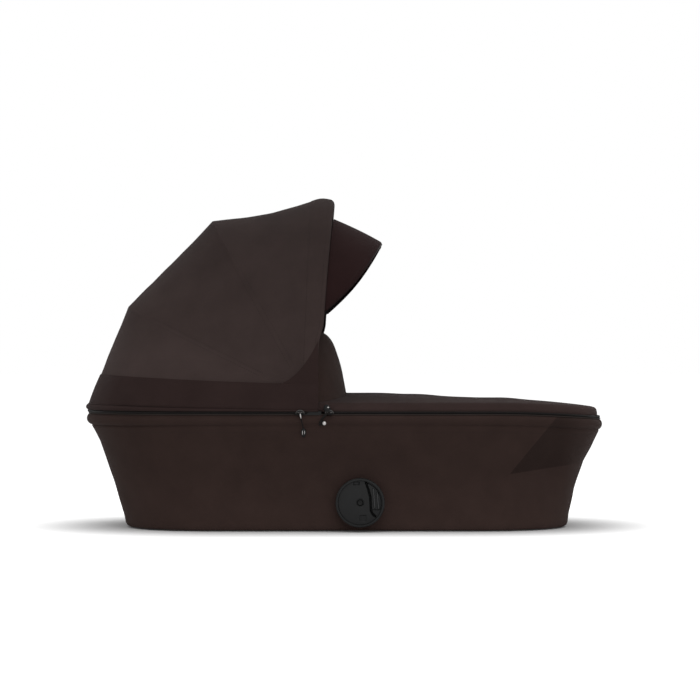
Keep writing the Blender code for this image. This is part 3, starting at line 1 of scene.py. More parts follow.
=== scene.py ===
"""The looks of a pram carrycot: its fabric, seams, zips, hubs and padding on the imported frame.

Metres, +Z up. +X points to the foot end. The photograph looks along +Y at the cot's right side.
"""

from math import cos, pi, radians, sin

import bmesh
import bpy
import numpy as np
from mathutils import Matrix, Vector


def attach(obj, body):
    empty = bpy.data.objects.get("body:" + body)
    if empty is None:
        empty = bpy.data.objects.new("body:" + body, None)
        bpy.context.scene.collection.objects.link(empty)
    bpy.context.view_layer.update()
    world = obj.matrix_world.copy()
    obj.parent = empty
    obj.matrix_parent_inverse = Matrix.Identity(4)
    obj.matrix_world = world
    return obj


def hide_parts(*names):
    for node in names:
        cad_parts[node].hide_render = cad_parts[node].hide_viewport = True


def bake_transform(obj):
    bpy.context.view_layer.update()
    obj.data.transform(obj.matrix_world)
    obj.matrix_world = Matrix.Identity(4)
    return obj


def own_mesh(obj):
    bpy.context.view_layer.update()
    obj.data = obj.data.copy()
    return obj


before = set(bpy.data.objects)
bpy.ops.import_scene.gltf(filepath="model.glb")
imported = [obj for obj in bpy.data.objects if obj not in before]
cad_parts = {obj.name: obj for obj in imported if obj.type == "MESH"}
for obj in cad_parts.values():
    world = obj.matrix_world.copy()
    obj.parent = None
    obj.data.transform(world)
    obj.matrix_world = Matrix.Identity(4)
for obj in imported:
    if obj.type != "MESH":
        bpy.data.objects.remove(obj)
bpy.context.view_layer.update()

# Rim and base of the tub, as in the part
RIM_HALF_LENGTH = 0.430
HALF_WIDTH = 0.210
RIM_HEIGHT = 0.181
RIM_FOOT_DROP = 0.010
RIM_STRAIGHT = 0.240
TUBE_INSET = 0.0103
BASE_HALF_LENGTH = 0.365
BASE_HALF_WIDTH = 0.175
BASE_STRAIGHT = 0.200
BASE_CORNER = 0.165
FLOOR_GAP = 0.002
END_ROUNDNESS = 2.4

# How far each wall has flared at a share of its height
HEAD_FLARE = ((0.0, 0.06, 0.12, 0.79, 0.89, 0.94, 1.0), (-0.01, 0.02, 0.06, 0.66, 0.80, 0.88, 0.93))
FOOT_FLARE = ((0.0, 0.12, 0.37, 0.64, 0.78, 1.0), (0.11, 0.15, 0.29, 0.52, 0.72, 1.0))
SIDE_FLARE_STRAIGHT = 0.75

# Tub cover: its turned-in foot, its wall as low share, high share and rows, and its roll over the rim tube
COVER_THICKNESS = 0.0018
COVER_UNDER_INSETS = (0.026, 0.018, 0.010)
COVER_CORNER = 0.005
COVER_CORNER_TURNS = (-80, -60, -40, -20)
COVER_WALL = (0.034, 0.93, 44)
COVER_STITCH_ROW = 48
ROLL_RADIUS = 0.0102
ROLL_END = radians(60)
HUB_HOLE_RADIUS = 0.020
HUB_FLAT = 0.03

# The folded panel at the foot end: its tip, its top corner and where its lower edge ends, as X and Z
FACET_TIP = (0.266, 0.093)
FACET_TOP = (0.341, 0.184)
FACET_KINK = (0.399, 0.110)

# Its depth, the softness of its edges, the X where it is full, those between which it fades, and its fold
FACET_DEPTH = 0.011
FACET_SOFT = 0.004
FACET_FULL = 0.322
FACET_FADE = (0.335, 0.373)
FACET_SHARP = 0.045

# Lining and mattress
LINING_BASE_INSET = 0.0180
LINING_RIM_INSET = 0.0249
LINING_THICKNESS = 0.0016
LINING_LOW = 0.0094
LINING_CORNER = 0.0055
LINING_FLOOR_SHARES = (0.35, 0.7, 0.97)
FLANGE_RISE = 0.0101
FLANGE_INSETS = (0.003, LINING_RIM_INSET - 0.002, 6)
QUILT_PITCH = 0.062
QUILT_DEPTH = 0.0028
QUILT_TOP = (1.0, 0.88)
QUILT_FOOT = (0.22, 0.34)
NOTCH_X = (-0.0797, -0.0363)
NOTCH_ASIDE = 0.183
MATTRESS_LOW = 0.0095
MATTRESS_TOP = 0.0455
MATTRESS_CROWN = 0.006
MATTRESS_EDGE = 0.013
MATTRESS_GAP = 0.0022

# Soft bumps of each piece, as height, size and the seed of their draws
COVER_SLACK = (0.0007, 0.085, 11)
COVER_CREASES = (0.0004, 0.050, 12)
MATTRESS_SLACK = (0.0012, 0.11, 31)
BAND_SLACK = (0.0005, 0.07, 41)
VISOR_SLACK = (0.0006, 0.07, 71)
APRON_SLACK = ((0.0011, 0.16, 81), (0.0006, 0.06, 82))
FLAP_SLACK = ((0.0016, 0.09, 91), (0.0006, 0.04, 92))

# Zips along the rim
ZIP_RISE = 0.0104
ZIP_COIL_HEIGHT = 0.004
ZIP_TAPE_WIDTH = 0.013
ZIP_MIDDLE = RIM_HEIGHT + ZIP_RISE + ZIP_COIL_HEIGHT / 2
TOOTH_PITCH = 0.0016
TOOTH_SIZE = (0.0030, 0.0009, 0.0010)
HOOD_SLIDER_X = -0.071
APRON_SLIDER_X = -0.024
SLIDER_OUT = HALF_WIDTH + 0.0006
SLIDER_SIZE = (0.0130, 0.0082, 0.0046)
# An apron slider's dark cap, a painted shadow beside it, and its bright bead, a painted highlight
SHADOW_CAP_SIZE = (0.0108, 0.0150, 0.0040)
GLINT_BEAD_SIZE = (0.0034, 0.0024, 0.0016)
PULL_OUT = 0.2153

# Each zip's start, the end that it goes round, its inset and its flat length
ZIPS = {"hood": (-0.060, -1, 0.0030, 1.00), "apron": (-0.031, 1, 0.0052, 1.18)}

# The pulls' cords as X, out and up from the slider, and their beads as X, up, width and height
HOOD_PULL_ROUTE = (
    (0.0, 0.0, 0.0),
    (0.0008, 0.0002, -0.005),
    (0.0026, 0.0, -0.014),
    (0.0058, -0.0002, -0.0265),
)
HOOD_PULL_BEADS = ((0.0040, -0.0320, 0.0014, 0.0085), (0.0074, -0.0318, 0.0013, 0.0075))
BEAD_DEPTH = 0.0026
CASE_SIZE = (0.0084, 0.0150, 0.0046)
LINK_SIZE = (0.0024, 0.0088, 0.0020)
TAB_PLACE = (-0.0112, 0.0002, -0.0165)
TAB_SIZE = (0.0100, 0.0082, 0.0022)
APRON_PULL_ROUTE = (
    (0.0, 0.0, 0.0),
    (-0.0050, 0.0004, -0.0024),
    (-0.0118, 0.0, -0.0100),
    (-0.0152, -0.0002, -0.0190),
)
APRON_PULL_BEADS = ((-0.0080, -0.0171, 0.0062, 0.0066),)

# Hood: a bow is its angle, where its legs begin to lean, its radius and where its cloth ends below
PIVOT = (-0.055, 0.217)
HOOD_MIDDLE = (PIVOT[0], 0.0, PIVOT[1])
REAR_BOW = (154.0, 0.064, 0.3405, 0.054)
MIDDLE_BOW = (119.5, 0.033, 0.3360, 0.020)
FRONT_BOW = (87.5, 0.093, 0.3300, 0.045)
BOW_ROUNDNESS = 2.6
BOW_LEAN = 0.16
HOOD_FABRIC = 0.0016
STITCH_PITCH = 0.0042
STITCH_LENGTH = 0.0030
STITCH_WIDTH = 0.0007
STITCH_MARGIN = 0.003
WIDE_MARGIN = 0.004

# Band and gusset: turns of the rolled hem in degrees, and rows at shares of the height over it
BAND_THICKNESS = 0.0012
BAND_LOW = 0.0140
BAND_START = -0.0905
BAND_FRONT = -0.042
BAND_SIDE_TOP = 0.2400
BAND_HEAD_TOP = 0.2535
BAND_HEAD_LEAN = 0.022
BAND_SWELL = 0.0011
BAND_SHARES = (0.03, 0.08, 0.2, 0.35, 0.5, 0.65, 0.8, 0.9, 0.96, 1.0)
ROLL_TURNS = (-165, -130, -95, -60, -30, 0, 30, 55, 75)
ROLL_OUT = 0.0006
ROLL_TUCK = 0.0042
ROLL_GROOVE = 0.0024
HEM_ROLL = 0.0050
HEM_ROLL_FRONT = 0.0012
HEM_ROLL_THINS = (-0.08, 0.33)
GUSSET_START = -0.108
GUSSET_RISE = 0.0704
GUSSET_CURVE = 1.9
GUSSET_SWELL = 0.0008

# Canopy panels from the band to the front hem, as word, sag, flat length and area
CANOPY_START = -0.106
CANOPY_THICKNESS = 0.0013
CANOPY_PANELS = (
    ("rear", 0.0, 0.122, 0.0678),
    ("middle", 0.0015, 0.201, 0.1056),
    ("top", 0.0055, 0.167, 0.0835),
)

# Front hem: shares of its width, turns of its front corner in degrees and shares of its turned-in depth
HEM_THICKNESS = 0.0014
HEM_BACK = 0.016
HEM_BACK_DROP = 0.0055
HEM_FORE = 0.016
HEM_CROWN_FORE = 0.0085
HEM_LOW_DRAW = 0.006
HEM_LOW = (0.085, 0.125)
HEM_CORNER = (0.0028, 0.0090)
HEM_DEPTH = (0.0045, 0.030)
HEM_PUFF = 0.0012
HEM_SHARES = (0.0, 0.04, 0.12, 0.3, 0.5, 0.7, 0.88, 1.0)
HEM_TURNS = (20, 40, 60, 80, 90)
HEM_TURNED_IN = (0.25, 0.5, 0.75, 1.0)
STRIP_HALF = 0.005

# Sun visor: under and turn are sizes at its sides and at its crown
VISOR_PIVOT = (-0.04053, 0.35350)
VISOR_ANGLE = 49.6
VISOR_RADIUS = 0.157
VISOR_LEAN = 0.20
VISOR_LEG_OUT = 0.1943
VISOR_START = 0.004
VISOR_OVER = 0.0027
VISOR_AHEAD = 0.0038
VISOR_SIDE_DROP = 0.0025
VISOR_CROWN_DROP = 0.031
VISOR_BULGE = 0.0075
VISOR_ALONG = 0.137
VISOR_PIN_ROOM = 0.0026
VISOR_PIN_REACH = (0.012, 0.050)
VISOR_UNDER = (0.0050, 0.0085)
VISOR_TURN = (0.0030, 0.0090)
VISOR_HANG = 0.0014

# Apron and wind flap
APRON_INSET = 0.009
APRON_SIDE_START = -0.0365
APRON_EAR = 0.0065
APRON_EAR_WIDTH = 0.10
APRON_MIDDLE_START = 0.004
APRON_LOW = 0.0119
APRON_SKIRT = 0.0095
APRON_SWELL = 0.0008
APRON_START_RISE = 0.0034
APRON_START_END = (-0.034, -0.022)
APRON_CORNER = 0.007
APRON_CORNER_TURNS = (0, 22, 45, 68, 90)
APRON_CROWN = 0.0125
APRON_CROWN_LOSS = 0.54
APRON_CROWN_FALL = (0.075, 0.225)
APRON_SPINE_END = 0.230
APRON_THICKNESS = 0.003
FLAP_HALF_WIDTH = 0.186
FLAP_HEIGHT = 0.104
FLAP_SIDE_HEIGHT = 0.046
FLAP_LEAN = 0.047
FLAP_WRAP = 0.044
FLAP_CORNER = 0.011
FLAP_THICKNESS = 0.002
FLAP_MARGIN = 0.005
FLAP_INSIDE = (-0.3, 0, 0.2)

# Hub, in its own plane: u runs to the foot end and w upwards, both from its centre
HUB_CENTRE = (0.0255, 0.0480)
HUB_RADIUS = 0.0395
HUB_FACE_OUT = 0.2035
HUB_PLATE_OUT = 0.2015
HUB_PLATE_RADIUS = 0.0358
HUB_GROOVE = (
    (0.0095, 0.0330), (0.0136, 0.0200), (0.0165, 0.0090),
    (0.0174, -0.0120), (0.0196, -0.0175), (0.0243, -0.0216),
)
HUB_RIBS = (((0.0212, 0.0225), (0.0236, -0.0075)), ((0.0276, 0.0160), (0.0296, -0.0085)))
RELEASE_LEFT = ((-0.0112, 0.009, 0.020, 0.031), (0.0192, 0.0184, 0.0156, 0.0116))
RELEASE_LOW = -0.0112
RELEASE_ROUND = 0.0338
RELEASE_GAP = 0.0006
RELEASE_SKIRT = -0.0020

# The face plate's recesses: the screw's seat as radius and depth, a window as centre, half size and depth
GROOVE_HALF_WIDTH = 0.0017
GROOVE_DEPTH = 0.0042
POCKET_DEPTH = 0.0050
SCREW_SEAT = ((0.0064, 0.0012), (0.0053, 0.0028))
HUB_WINDOWS = (((0.0046, -0.0245), (0.0050, 0.0045), 0.0016), ((-0.0061, 0.0312), (0.0046, 0.0023), 0.0022))
HUB_DISH = 0.0008

# The release's ribs, as height and the distances from their lines between which their sides fall
RIB_FORMS = ((0.0016, 0.0007, 0.0013), (0.0019, 0.0008, 0.0014))

# Turned profiles, as out and radius: the lip's from the hub's face and radius, the screw's out from its top
HUB_LIP = (
    (-0.0110, 0.0001), (-0.0016, 0.0001), (-0.0006, -0.0003), (0.0, -0.0011),
    (0.0, -0.0024), (-0.0005, -0.0032), (-0.0022, -0.0036), (-0.0110, -0.0036),
)
SCREW_HEAD = (
    (-0.0030, 0.0045), (-0.0012, 0.00475), (-0.0005, 0.0044), (-0.0001, 0.0036),
    (0.0, 0.0028), (-0.0002, 0.0022), (-0.0018, 0.0020), (-0.0019, 0.0002),
)

# Colours, linear
COVER_COLOUR = (0.0345, 0.0213, 0.0184)
HOOD_COLOUR = (0.0385, 0.0268, 0.0250)
BAND_COLOUR = (0.0298, 0.0182, 0.0170)
APRON_COLOUR = (0.0310, 0.0200, 0.0185)
VISOR_COLOUR = (0.0174, 0.0079, 0.0078)
HUB_COLOUR = (0.0118, 0.0120, 0.0122)
LINING_COLOUR = (0.0300, 0.0240, 0.0220)
MATTRESS_COLOUR = (0.60, 0.57, 0.53)
THREAD_COLOUR = (0.0240, 0.0160, 0.0150)
ZIP_COLOUR = (0.0110, 0.0095, 0.0092)
PLASTIC_COLOUR = (0.0120, 0.0122, 0.0122)
RUBBER_COLOUR = (0.010, 0.010, 0.010)
# Painted shade laid along the floor of the hub's groove
GROOVE_PAINTED_SHADE_COLOUR = (0.0016, 0.0016, 0.0016)
# Painted highlight on the tops of the release's ribs
RIB_HIGHLIGHT_COLOUR = (0.050, 0.0505, 0.051)
STEEL_COLOUR = (0.36, 0.36, 0.36)
BRIGHT_COLOUR = (0.34, 0.325, 0.32)
BLACKENED_COLOUR = (0.014, 0.014, 0.014)
DARK_NICKEL_COLOUR = (0.075, 0.072, 0.070)
ALUMINIUM_COLOUR = (0.62, 0.62, 0.64)

# Painted light and shade by place: shares of the colour, heights between which they change, and a fade's
# start and speed
# Painted shade on the folded panel at the foot end: the share of the colour it keeps, the sharpness of its
# edges and its fade
FACET_PAINTED_SHADE = 0.66
FACET_PAINTED_SHADE_EDGE = 900.0
FACET_PAINTED_SHADE_FADE = (0.352, 18.0)
# Painted light, as if bounced up from the floor: the wall's colour grows paler below a height
PAINTED_FOOT_LIGHT = 1.45
FOOT_LIGHT_HEIGHT = 0.105
FOOT_LIGHT_CURVE = 1.2
# Painted light and shade on the hood's cloth: paler low, darker high
HOOD_PAINTED_LIGHT = ((0.28, 0.53), (1.24, 0.76))
# Painted light on the apron: its skirt paler than its top
APRON_PAINTED_LIGHT = ((0.200, 0.212), (1.34, 1.0))

# Floor's glow under the cot and away from it, dimmed near the base as painted shadow, and the surround's
# light as it falls and as it is seen
SHADOW_REACH = 0.26
FLOOR_GLOW = (0.02, 0.64)
SURROUND_LIGHT = (0.55, 1.0)

# Camera, level and square to the cot's side
CAMERA_PLACE = (0.0092, -5.0, 0.294)
CAMERA_LENS = 153.4

# Each side's word and its sign along Y
SIDES = (("right", -1), ("left", 1))


def smoothstep(low, high, value):
    share = np.clip((np.asarray(value, float) - low) / (high - low), 0.0, 1.0)
    return share * share * (3 - 2 * share)


def mix(low, high, share):
    return low + (high - low) * share


def unit(vectors):
    """The vectors at length one."""
    return vectors / np.linalg.norm(vectors, axis=-1)[..., None]


def steps_along(points, closed):
    """The direction at each point of a line, not yet at length one."""
    if closed:
        return np.roll(points, -1, axis=0) - np.roll(points, 1, axis=0)
    return np.gradient(points, axis=0)


def soft_noise(points, size, seed):
    """Smooth, repeatable bumps of about the given size, from -1 to 1."""
    chance = np.random.default_rng(seed)
    total = np.zeros(points.shape[:-1])
    for _ in range(7):
        direction = chance.normal(size=3)
        direction /= np.linalg.norm(direction)
        wave = 2 * pi / (size * chance.uniform(0.7, 1.5))
        total += np.sin(points @ direction * wave + chance.uniform(0, 2 * pi))
    return total / 3.2


def ripples(points, *waves):
    """The sum of soft bumps, each given by its height, its size and the seed of its draws."""
    return sum(height * soft_noise(points, size, seed) for height, size, seed in waves)


# Places round the tub


def at_equal_steps(stations, count):
    """The stations again, at equal steps along the rim."""
    points = rim_points(stations)
    lengths = np.concatenate([[0.0], np.cumsum(np.linalg.norm(np.diff(points, axis=0), axis=1))])
    wanted = np.linspace(0.0, lengths[-1], count)
    return np.stack([np.interp(wanted, lengths, row) for row in stations])


def end_stations(start, count, toward):
    """Stations from the right side at X = start, round one end, to the left side at the same X.

    A station is a share along the straight side, a share out into the end and a share of the half width.
    toward is 1 for the foot end and -1 for the head end.
    """
    straight = np.linspace(toward * start / RIM_STRAIGHT, 1.0, 400)[:-1]
    turn = np.linspace(0.0, pi / 2, 1200)
    power = 2 / END_ROUNDNESS
    along = np.concatenate([straight, np.ones_like(turn)])
    end = np.concatenate([np.zeros_like(straight), np.sin(turn) ** power])
    across = -np.concatenate([np.ones_like(straight), np.cos(turn).clip(0.0) ** power])
    right = np.stack([toward * along, end, across])
    left = right[:, -2::-1] * np.array([[1.0], [1.0], [-1.0]])
    return at_equal_steps(np.hstack([right, left]), count)


def all_round(count):
    """Stations all the way round, from the middle of the right side by way of the foot end."""
    foot = end_stations(0.0, 1500, 1)
    head = end_stations(0.0, 1500, -1)[:, ::-1]
    return at_equal_steps(np.hstack([foot, head[:, 1:]]), count + 1)[:, :-1]


def plan_points(stations, straight, half_head, half_foot, half_width):
    along, end, across = stations
    sign = np.where(along > 0, 1.0, -1.0)
    reach = np.where(along > 0, half_foot, half_head)
    return along * straight + sign * (reach - straight) * end, across * half_width


def rim_level(stations):
    return RIM_HEIGHT - np.where(stations[0] > 0, RIM_FOOT_DROP * stations[1] ** 2, 0.0)


def stacked(x, y, z):
    return np.stack(np.broadcast_arrays(x, y, z), axis=-1)


def rim_points(stations, inset=0.0, rise=0.0, lean=0.0):
    """Points above the rim tube's centre line, inset from its outline, leaning in at the head end."""
    half = RIM_HALF_LENGTH - inset
    x, y = plan_points(stations, RIM_STRAIGHT, half - lean, half, HALF_WIDTH - inset)
    return stacked(x, y, rim_level(stations) + rise)


def wall_points(stations, height, inset=0.0, lift=0.0):
    """Points on the tub's wall at a share of the height from its foot to the rim tube's centre."""
    side = SIDE_FLARE_STRAIGHT * height + (1 - SIDE_FLARE_STRAIGHT) * height**4
    x, y = plan_points(
        stations,
        mix(BASE_STRAIGHT, RIM_STRAIGHT, height),
        mix(BASE_HALF_LENGTH, RIM_HALF_LENGTH, np.interp(height, *HEAD_FLARE)) - inset,
        mix(BASE_HALF_LENGTH, RIM_HALF_LENGTH, np.interp(height, *FOOT_FLARE)) - inset,
        mix(BASE_HALF_WIDTH, HALF_WIDTH, side) - inset,
    )
    return stacked(x, y, mix(FLOOR_GAP, rim_level(stations), height) + lift)


def wall_share(z):
    return (z - FLOOR_GAP) / (RIM_HEIGHT - FLOOR_GAP)


def from_hub(points):
    return np.hypot(points[..., 0] - HUB_CENTRE[0], points[..., 2] - HUB_CENTRE[1])


def drawn_in(ring, share, along=0.6):
    """A ring drawn in towards the cot's middle line, less along the cot than across it."""
    return ring * np.array((1 - share * along, 1 - share, 1.0))


def plan_normals(stations, closed=True):
    """Outward directions in the plan, square to the rim's outline."""
    points = rim_points(stations)[:, :2]
    ahead = steps_along(points, closed)
    normals = unit(np.stack([ahead[:, 1], -ahead[:, 0]], axis=1))
    normals *= np.sign((normals * points).sum(axis=1).sum())
    return np.hstack([normals, np.zeros((len(normals), 1))])


# Meshes


def link(name, mesh, material=None):
    made = bpy.data.objects.new(name, mesh)
    bpy.context.scene.collection.objects.link(made)
    if material:
        mesh.materials.append(material)
    return made


def dress(made, body, node=None):
    """Says which body a piece rides on and which solid it stands for."""
    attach(made, body)
    if node:
        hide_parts(node)
    return made


def settle(made):
    """Applies the modifiers, so that the mesh is final, and keeps its folded edges crisp."""
    graph = bpy.context.evaluated_depsgraph_get()
    final = bpy.data.meshes.new_from_object(made.evaluated_get(graph))
    made.modifiers.clear()
    made.data = final
    final.shade_smooth()
    final.set_sharp_from_angle(angle=radians(55))
    return made


def thicken(made, thickness):
    """Gives a sheet its thickness, on the side that faces away from its outside."""
    step = made.modifiers.new("thickness", "SOLIDIFY")
    step.thickness = thickness
    step.offset = -1
    return settle(made)


def close_ends(made):
    """Joins points that lie together and fills a piece's open ends."""
    work = bmesh.new()
    work.from_mesh(made.data)
    bmesh.ops.remove_doubles(work, verts=work.verts, dist=0.000001)
    bmesh.ops.dissolve_degenerate(work, edges=work.edges, dist=0.000001)
    bmesh.ops.holes_fill(work, edges=[e for e in work.edges if e.is_boundary])
    bmesh.ops.recalc_face_normals(work, faces=work.faces)
    work.to_mesh(made.data)
    work.free()
    return made


def lengths_along(points, axis):
    steps = np.linalg.norm(np.diff(points, axis=axis), axis=-1)
    start = np.zeros_like(np.take(steps, [0], axis=axis))
    return np.cumsum(np.concatenate([start, steps], axis=axis), axis=axis)


def read_at(wanted, lengths, rows):
    """Rows of places or directions, read at the wanted lengths."""
    return np.stack([np.interp(wanted, lengths, row) for row in rows.T], axis=1)


def resample(points, count):
    lengths = lengths_along(points, 0)
    return read_at(np.linspace(0.0, lengths[-1], count), lengths, points)


def grid_piece(name, points, material, closed=False, skip=None, inside=(0.0, 0.0, 0.1), thickness=0.0):
    """A smooth sheet through rows of points, facing away from inside, with a map in metres for its weave."""
    rows, columns = points.shape[:2]
    ring = np.concatenate([points, points[:, :1]], axis=1) if closed else points
    down = lengths_along(ring, 0)
    across = lengths_along(ring, 1)
    across = across[np.argmax(across[:, -1])]
    i, j = np.meshgrid(np.arange(rows - 1), np.arange(ring.shape[1] - 1), indexing="ij")
    corners = np.array([(i, j), (i, j + 1), (i + 1, j + 1), (i + 1, j)])
    corners = corners.transpose(2, 3, 0, 1).reshape(-1, 4, 2)
    centres = np.mean([ring[corners[:, k, 0], corners[:, k, 1]] for k in range(4)], axis=0)
    if skip is not None:
        corners = corners[~skip(centres)]
        centres = centres[~skip(centres)]
    places = ring[corners[..., 0], corners[..., 1]]
    normals = np.cross(places[:, 2] - places[:, 0], places[:, 3] - places[:, 1])
    if (normals * (centres - np.array(inside))).sum() < 0:
        corners = corners[:, ::-1]
    mesh = bpy.data.meshes.new(name)
    indices = corners[..., 0] * columns + corners[..., 1] % columns
    mesh.from_pydata(points.reshape(-1, 3).tolist(), [], indices.tolist())
    weave = mesh.uv_layers.new(name="weave")
    places = np.stack([across[corners[..., 1]], down[corners[..., 0], corners[..., 1]]], axis=-1)
    weave.data.foreach_set("uv", places.astype(np.float32).ravel())
    made = link(name, mesh, material)
    return thicken(made, thickness) if thickness else settle(made)


def frames_along(path, closed):
    """Directions along a path and two directions square to it, turning as little as possible."""
    ahead = unit(steps_along(path, closed))
    first = np.cross(ahead[0], (0.0, 0.0, 1.0))
    if np.linalg.norm(first) < 0.2:
        first = np.cross(ahead[0], (1.0, 0.0, 0.0))
    sides = []
    for direction in ahead:
        first = first - direction * (first @ direction)
        first = first / np.linalg.norm(first)
        sides.append(first)
    sides = np.array(sides)
    return ahead, sides, np.cross(ahead, sides)


def tube_faces(rings, sides, closed=False):
    """The faces round a tube of rings, with a cap at each end where it is open."""
    faces = []
    for i in range(rings if closed else rings - 1):
        low, high = i * sides, (i + 1) % rings * sides
        for j in range(sides):
            faces.append((low + j, low + (j + 1) % sides, high + (j + 1) % sides, high + j))
    if not closed:
        faces += [tuple(range(sides))[::-1], tuple(range((rings - 1) * sides, rings * sides))]
    return faces


def smooth_mesh(name, points, faces, material):
    mesh = bpy.data.meshes.new(name)
    mesh.from_pydata(points.reshape(-1, 3).tolist(), [], faces)
    made = link(name, mesh, material)
    mesh.shade_smooth()
    return made


def rope(name, path, radius, material, closed=False, sides=10):
    """A round tube along a path, with rounded ends where it is open. The radius may differ along it."""
    path = np.asarray(path, float)
    radius = np.broadcast_to(np.asarray(radius, float), len(path)).copy()
    ahead, out, up = frames_along(path, closed)
    if not closed:
        caps = []
        for end, sign in ((0, -1), (-1, 1)):
            for share in (0.5, 0.85, 0.99):
                place = path[end] + sign * ahead[end] * radius[end] * share
                caps.append((end, place, radius[end] * (1 - share**2) ** 0.5))
        for end, place, r in caps:
            at = 0 if end == 0 else len(path)
            path = np.insert(path, at, place, axis=0)
            radius = np.insert(radius, at, r)
            out = np.insert(out, at, out[end], axis=0)
            up = np.insert(up, at, up[end], axis=0)
    angles = np.linspace(0.0, 2 * pi, sides, endpoint=False)
    spokes = np.cos(angles)[None, :, None] * out[:, None] + np.sin(angles)[None, :, None] * up[:, None]
    rings = path[:, None] + spokes * radius[:, None, None]
    return smooth_mesh(name, rings, tube_faces(len(path), sides, closed), material)


# The rings of a stitch or tooth, each as its place along it and its share of the full thickness
BEAD_RINGS = ((-1.0, 0.25), (-0.85, 0.72), (-0.4, 1.0), (0.4, 1.0), (0.85, 0.72), (1.0, 0.25))
BEAD_SIDES = 6


def beads(name, centres, ahead, up, size, material, sink=0.0):
    """Many small rounded bars in one mesh, such as stitches or teeth. size is length, width and height."""
    ahead = unit(ahead)
    aside = unit(np.cross(ahead, up))
    up = np.cross(aside, ahead)
    length, width, height = (s / 2 for s in size)
    points = []
    for place, share in BEAD_RINGS:
        for k in range(BEAD_SIDES):
            a = 2 * pi * k / BEAD_SIDES
            offset = ahead * place * length + aside * share * cos(a) * width
            offset = offset + up * (share * sin(a) * height - sink * place**2)
            points.append(centres + offset)
    points = np.stack(points, axis=1)
    each = len(BEAD_RINGS) * BEAD_SIDES
    faces = []
    for i in range(len(centres)):
        for face in tube_faces(len(BEAD_RINGS), BEAD_SIDES):
            faces.append(tuple(k + i * each for k in face[::-1]))
    return smooth_mesh(name, points, faces, material)


def along_path(path, step, *others):
    """Places at equal steps along a path, the directions there, and other rows read at the same places."""
    lengths = lengths_along(path, 0)
    wanted = np.arange(step / 2, lengths[-1] - step / 4, step)
    ahead = read_at(wanted, lengths, np.gradient(path, axis=0))
    return read_at(wanted, lengths, path), ahead, *[read_at(wanted, lengths, rows) for rows in others]


def stitch_row(name, path, normals, material):
    """A row of stitches on a surface."""
    centres, ahead, up = along_path(path, STITCH_PITCH, normals)
    size = (STITCH_LENGTH, STITCH_WIDTH, STITCH_WIDTH)
    return beads(name, centres, ahead, up, size, material, STITCH_WIDTH * 0.55)


def outward(points, row, inside=(0.0, 0.0, 0.15)):
    """Directions square to a grid of points, along one of its rows."""
    step = 1 if row + 1 < len(points) else -1
    normals = unit(np.cross(points[row + step] - points[row], np.gradient(points[row], axis=0)))
    return normals * np.sign((normals * (points[row] - np.array(inside))).sum())


def stitch_edge(name, points, distance, material, body, last=False, inside=(0.0, 0.0, 0.15)):
    """A row of stitches on a sheet, at a distance from its first or last row of points."""
    grid = points[::-1] if last else points
    down = lengths_along(grid, 0)
    path = []
    for k in range(grid.shape[1]):
        at = min(distance, down[-1, k] * 0.4)
        path.append([np.interp(at, down[:, k], grid[:, k, axis]) for axis in range(3)])
    path = np.array(path)
    row = int(np.argmax(down.mean(axis=1) >= distance))
    made = stitch_row(name, path, outward(grid, max(row, 1), inside), material)
    return dress(made, body)


# Materials


def shader_of(material):
    return material.node_tree.nodes["Principled BSDF"]


def new_material(name, settings):
    made = bpy.data.materials.new(name)
    made.use_nodes = True
    for key, value in settings.items():
        shader_of(made).inputs[key].default_value = value
    return made


class Nodes:
    """A short way to add nodes to a material and join them."""

    def __init__(self, material):
        self.tree = material.node_tree

    def add(self, kind, inputs=(), **settings):
        node = self.tree.nodes.new(kind)
        for key, value in settings.items():
            setattr(node, key, value)
        for key, value in dict(inputs).items():
            if isinstance(value, bpy.types.NodeSocket):
                self.tree.links.new(value, node.inputs[key])
            else:
                node.inputs[key].default_value = value
        return node

    def place(self, kind="Object"):
        return self.add("ShaderNodeTexCoord").outputs[kind]

    def apart(self, place):
        return self.add("ShaderNodeSeparateXYZ", {"Vector": place}).outputs

    def maths(self, operation, first, second=0.0):
        return self.add("ShaderNodeMath", {0: first, 1: second}, operation=operation).outputs[0]

    def plus(self, first, second):
        return self.maths("ADD", first, second)

    def minus(self, first, second):
        return self.maths("SUBTRACT", first, second)

    def times(self, first, second):
        return self.maths("MULTIPLY", first, second)

    def weighed(self, first, first_weight, second, second_weight):
        return self.plus(self.times(first, first_weight), self.times(second, second_weight))

    def clamped(self, value):
        return self.maths("MINIMUM", self.maths("MAXIMUM", value, 0.0), 1.0)

    def noise(self, place, scale, detail=3.0):
        made = self.add("ShaderNodeTexNoise", {"Vector": place, "Scale": scale, "Detail": detail})
        return made.outputs["Fac"]

    def ramp(self, value, places, colours):
        made = self.add("ShaderNodeValToRGB", {"Fac": value})
        for element, place, colour in zip(made.color_ramp.elements, places, colours):
            element.position = place
            element.color = (*colour, 1.0)
        return made.outputs["Color"]

    def map_range(self, value, low, high):
        made = self.add("ShaderNodeMapRange", {"Value": value, "To Min": low, "To Max": high})
        return made.outputs["Result"]

    def bump(self, height, strength, distance, normal=None):
        inputs = {"Height": height, "Strength": strength, "Distance": distance}
        if normal is not None:
            inputs["Normal"] = normal
        return self.add("ShaderNodeBump", inputs).outputs["Normal"]

    def seen_directly(self):
        """1 where the camera sees a place itself, in a reflection or through something clear."""
        path = self.add("ShaderNodeLightPath")
        seen = self.maths("MAXIMUM", path.outputs["Is Camera Ray"], path.outputs["Is Glossy Ray"])
        return self.maths("MAXIMUM", seen, path.outputs["Is Transmission Ray"])


def scaled(colour, share):
    return tuple(c * share for c in colour)


def join(material, tint, rough, normal):
    """Joins a material's worked-out colour, roughness and relief to its shader."""
    inputs = shader_of(material).inputs
    for key, value in (("Base Color", tint), ("Roughness", rough), ("Normal", normal)):
        material.node_tree.links.new(value, inputs[key])
    return material


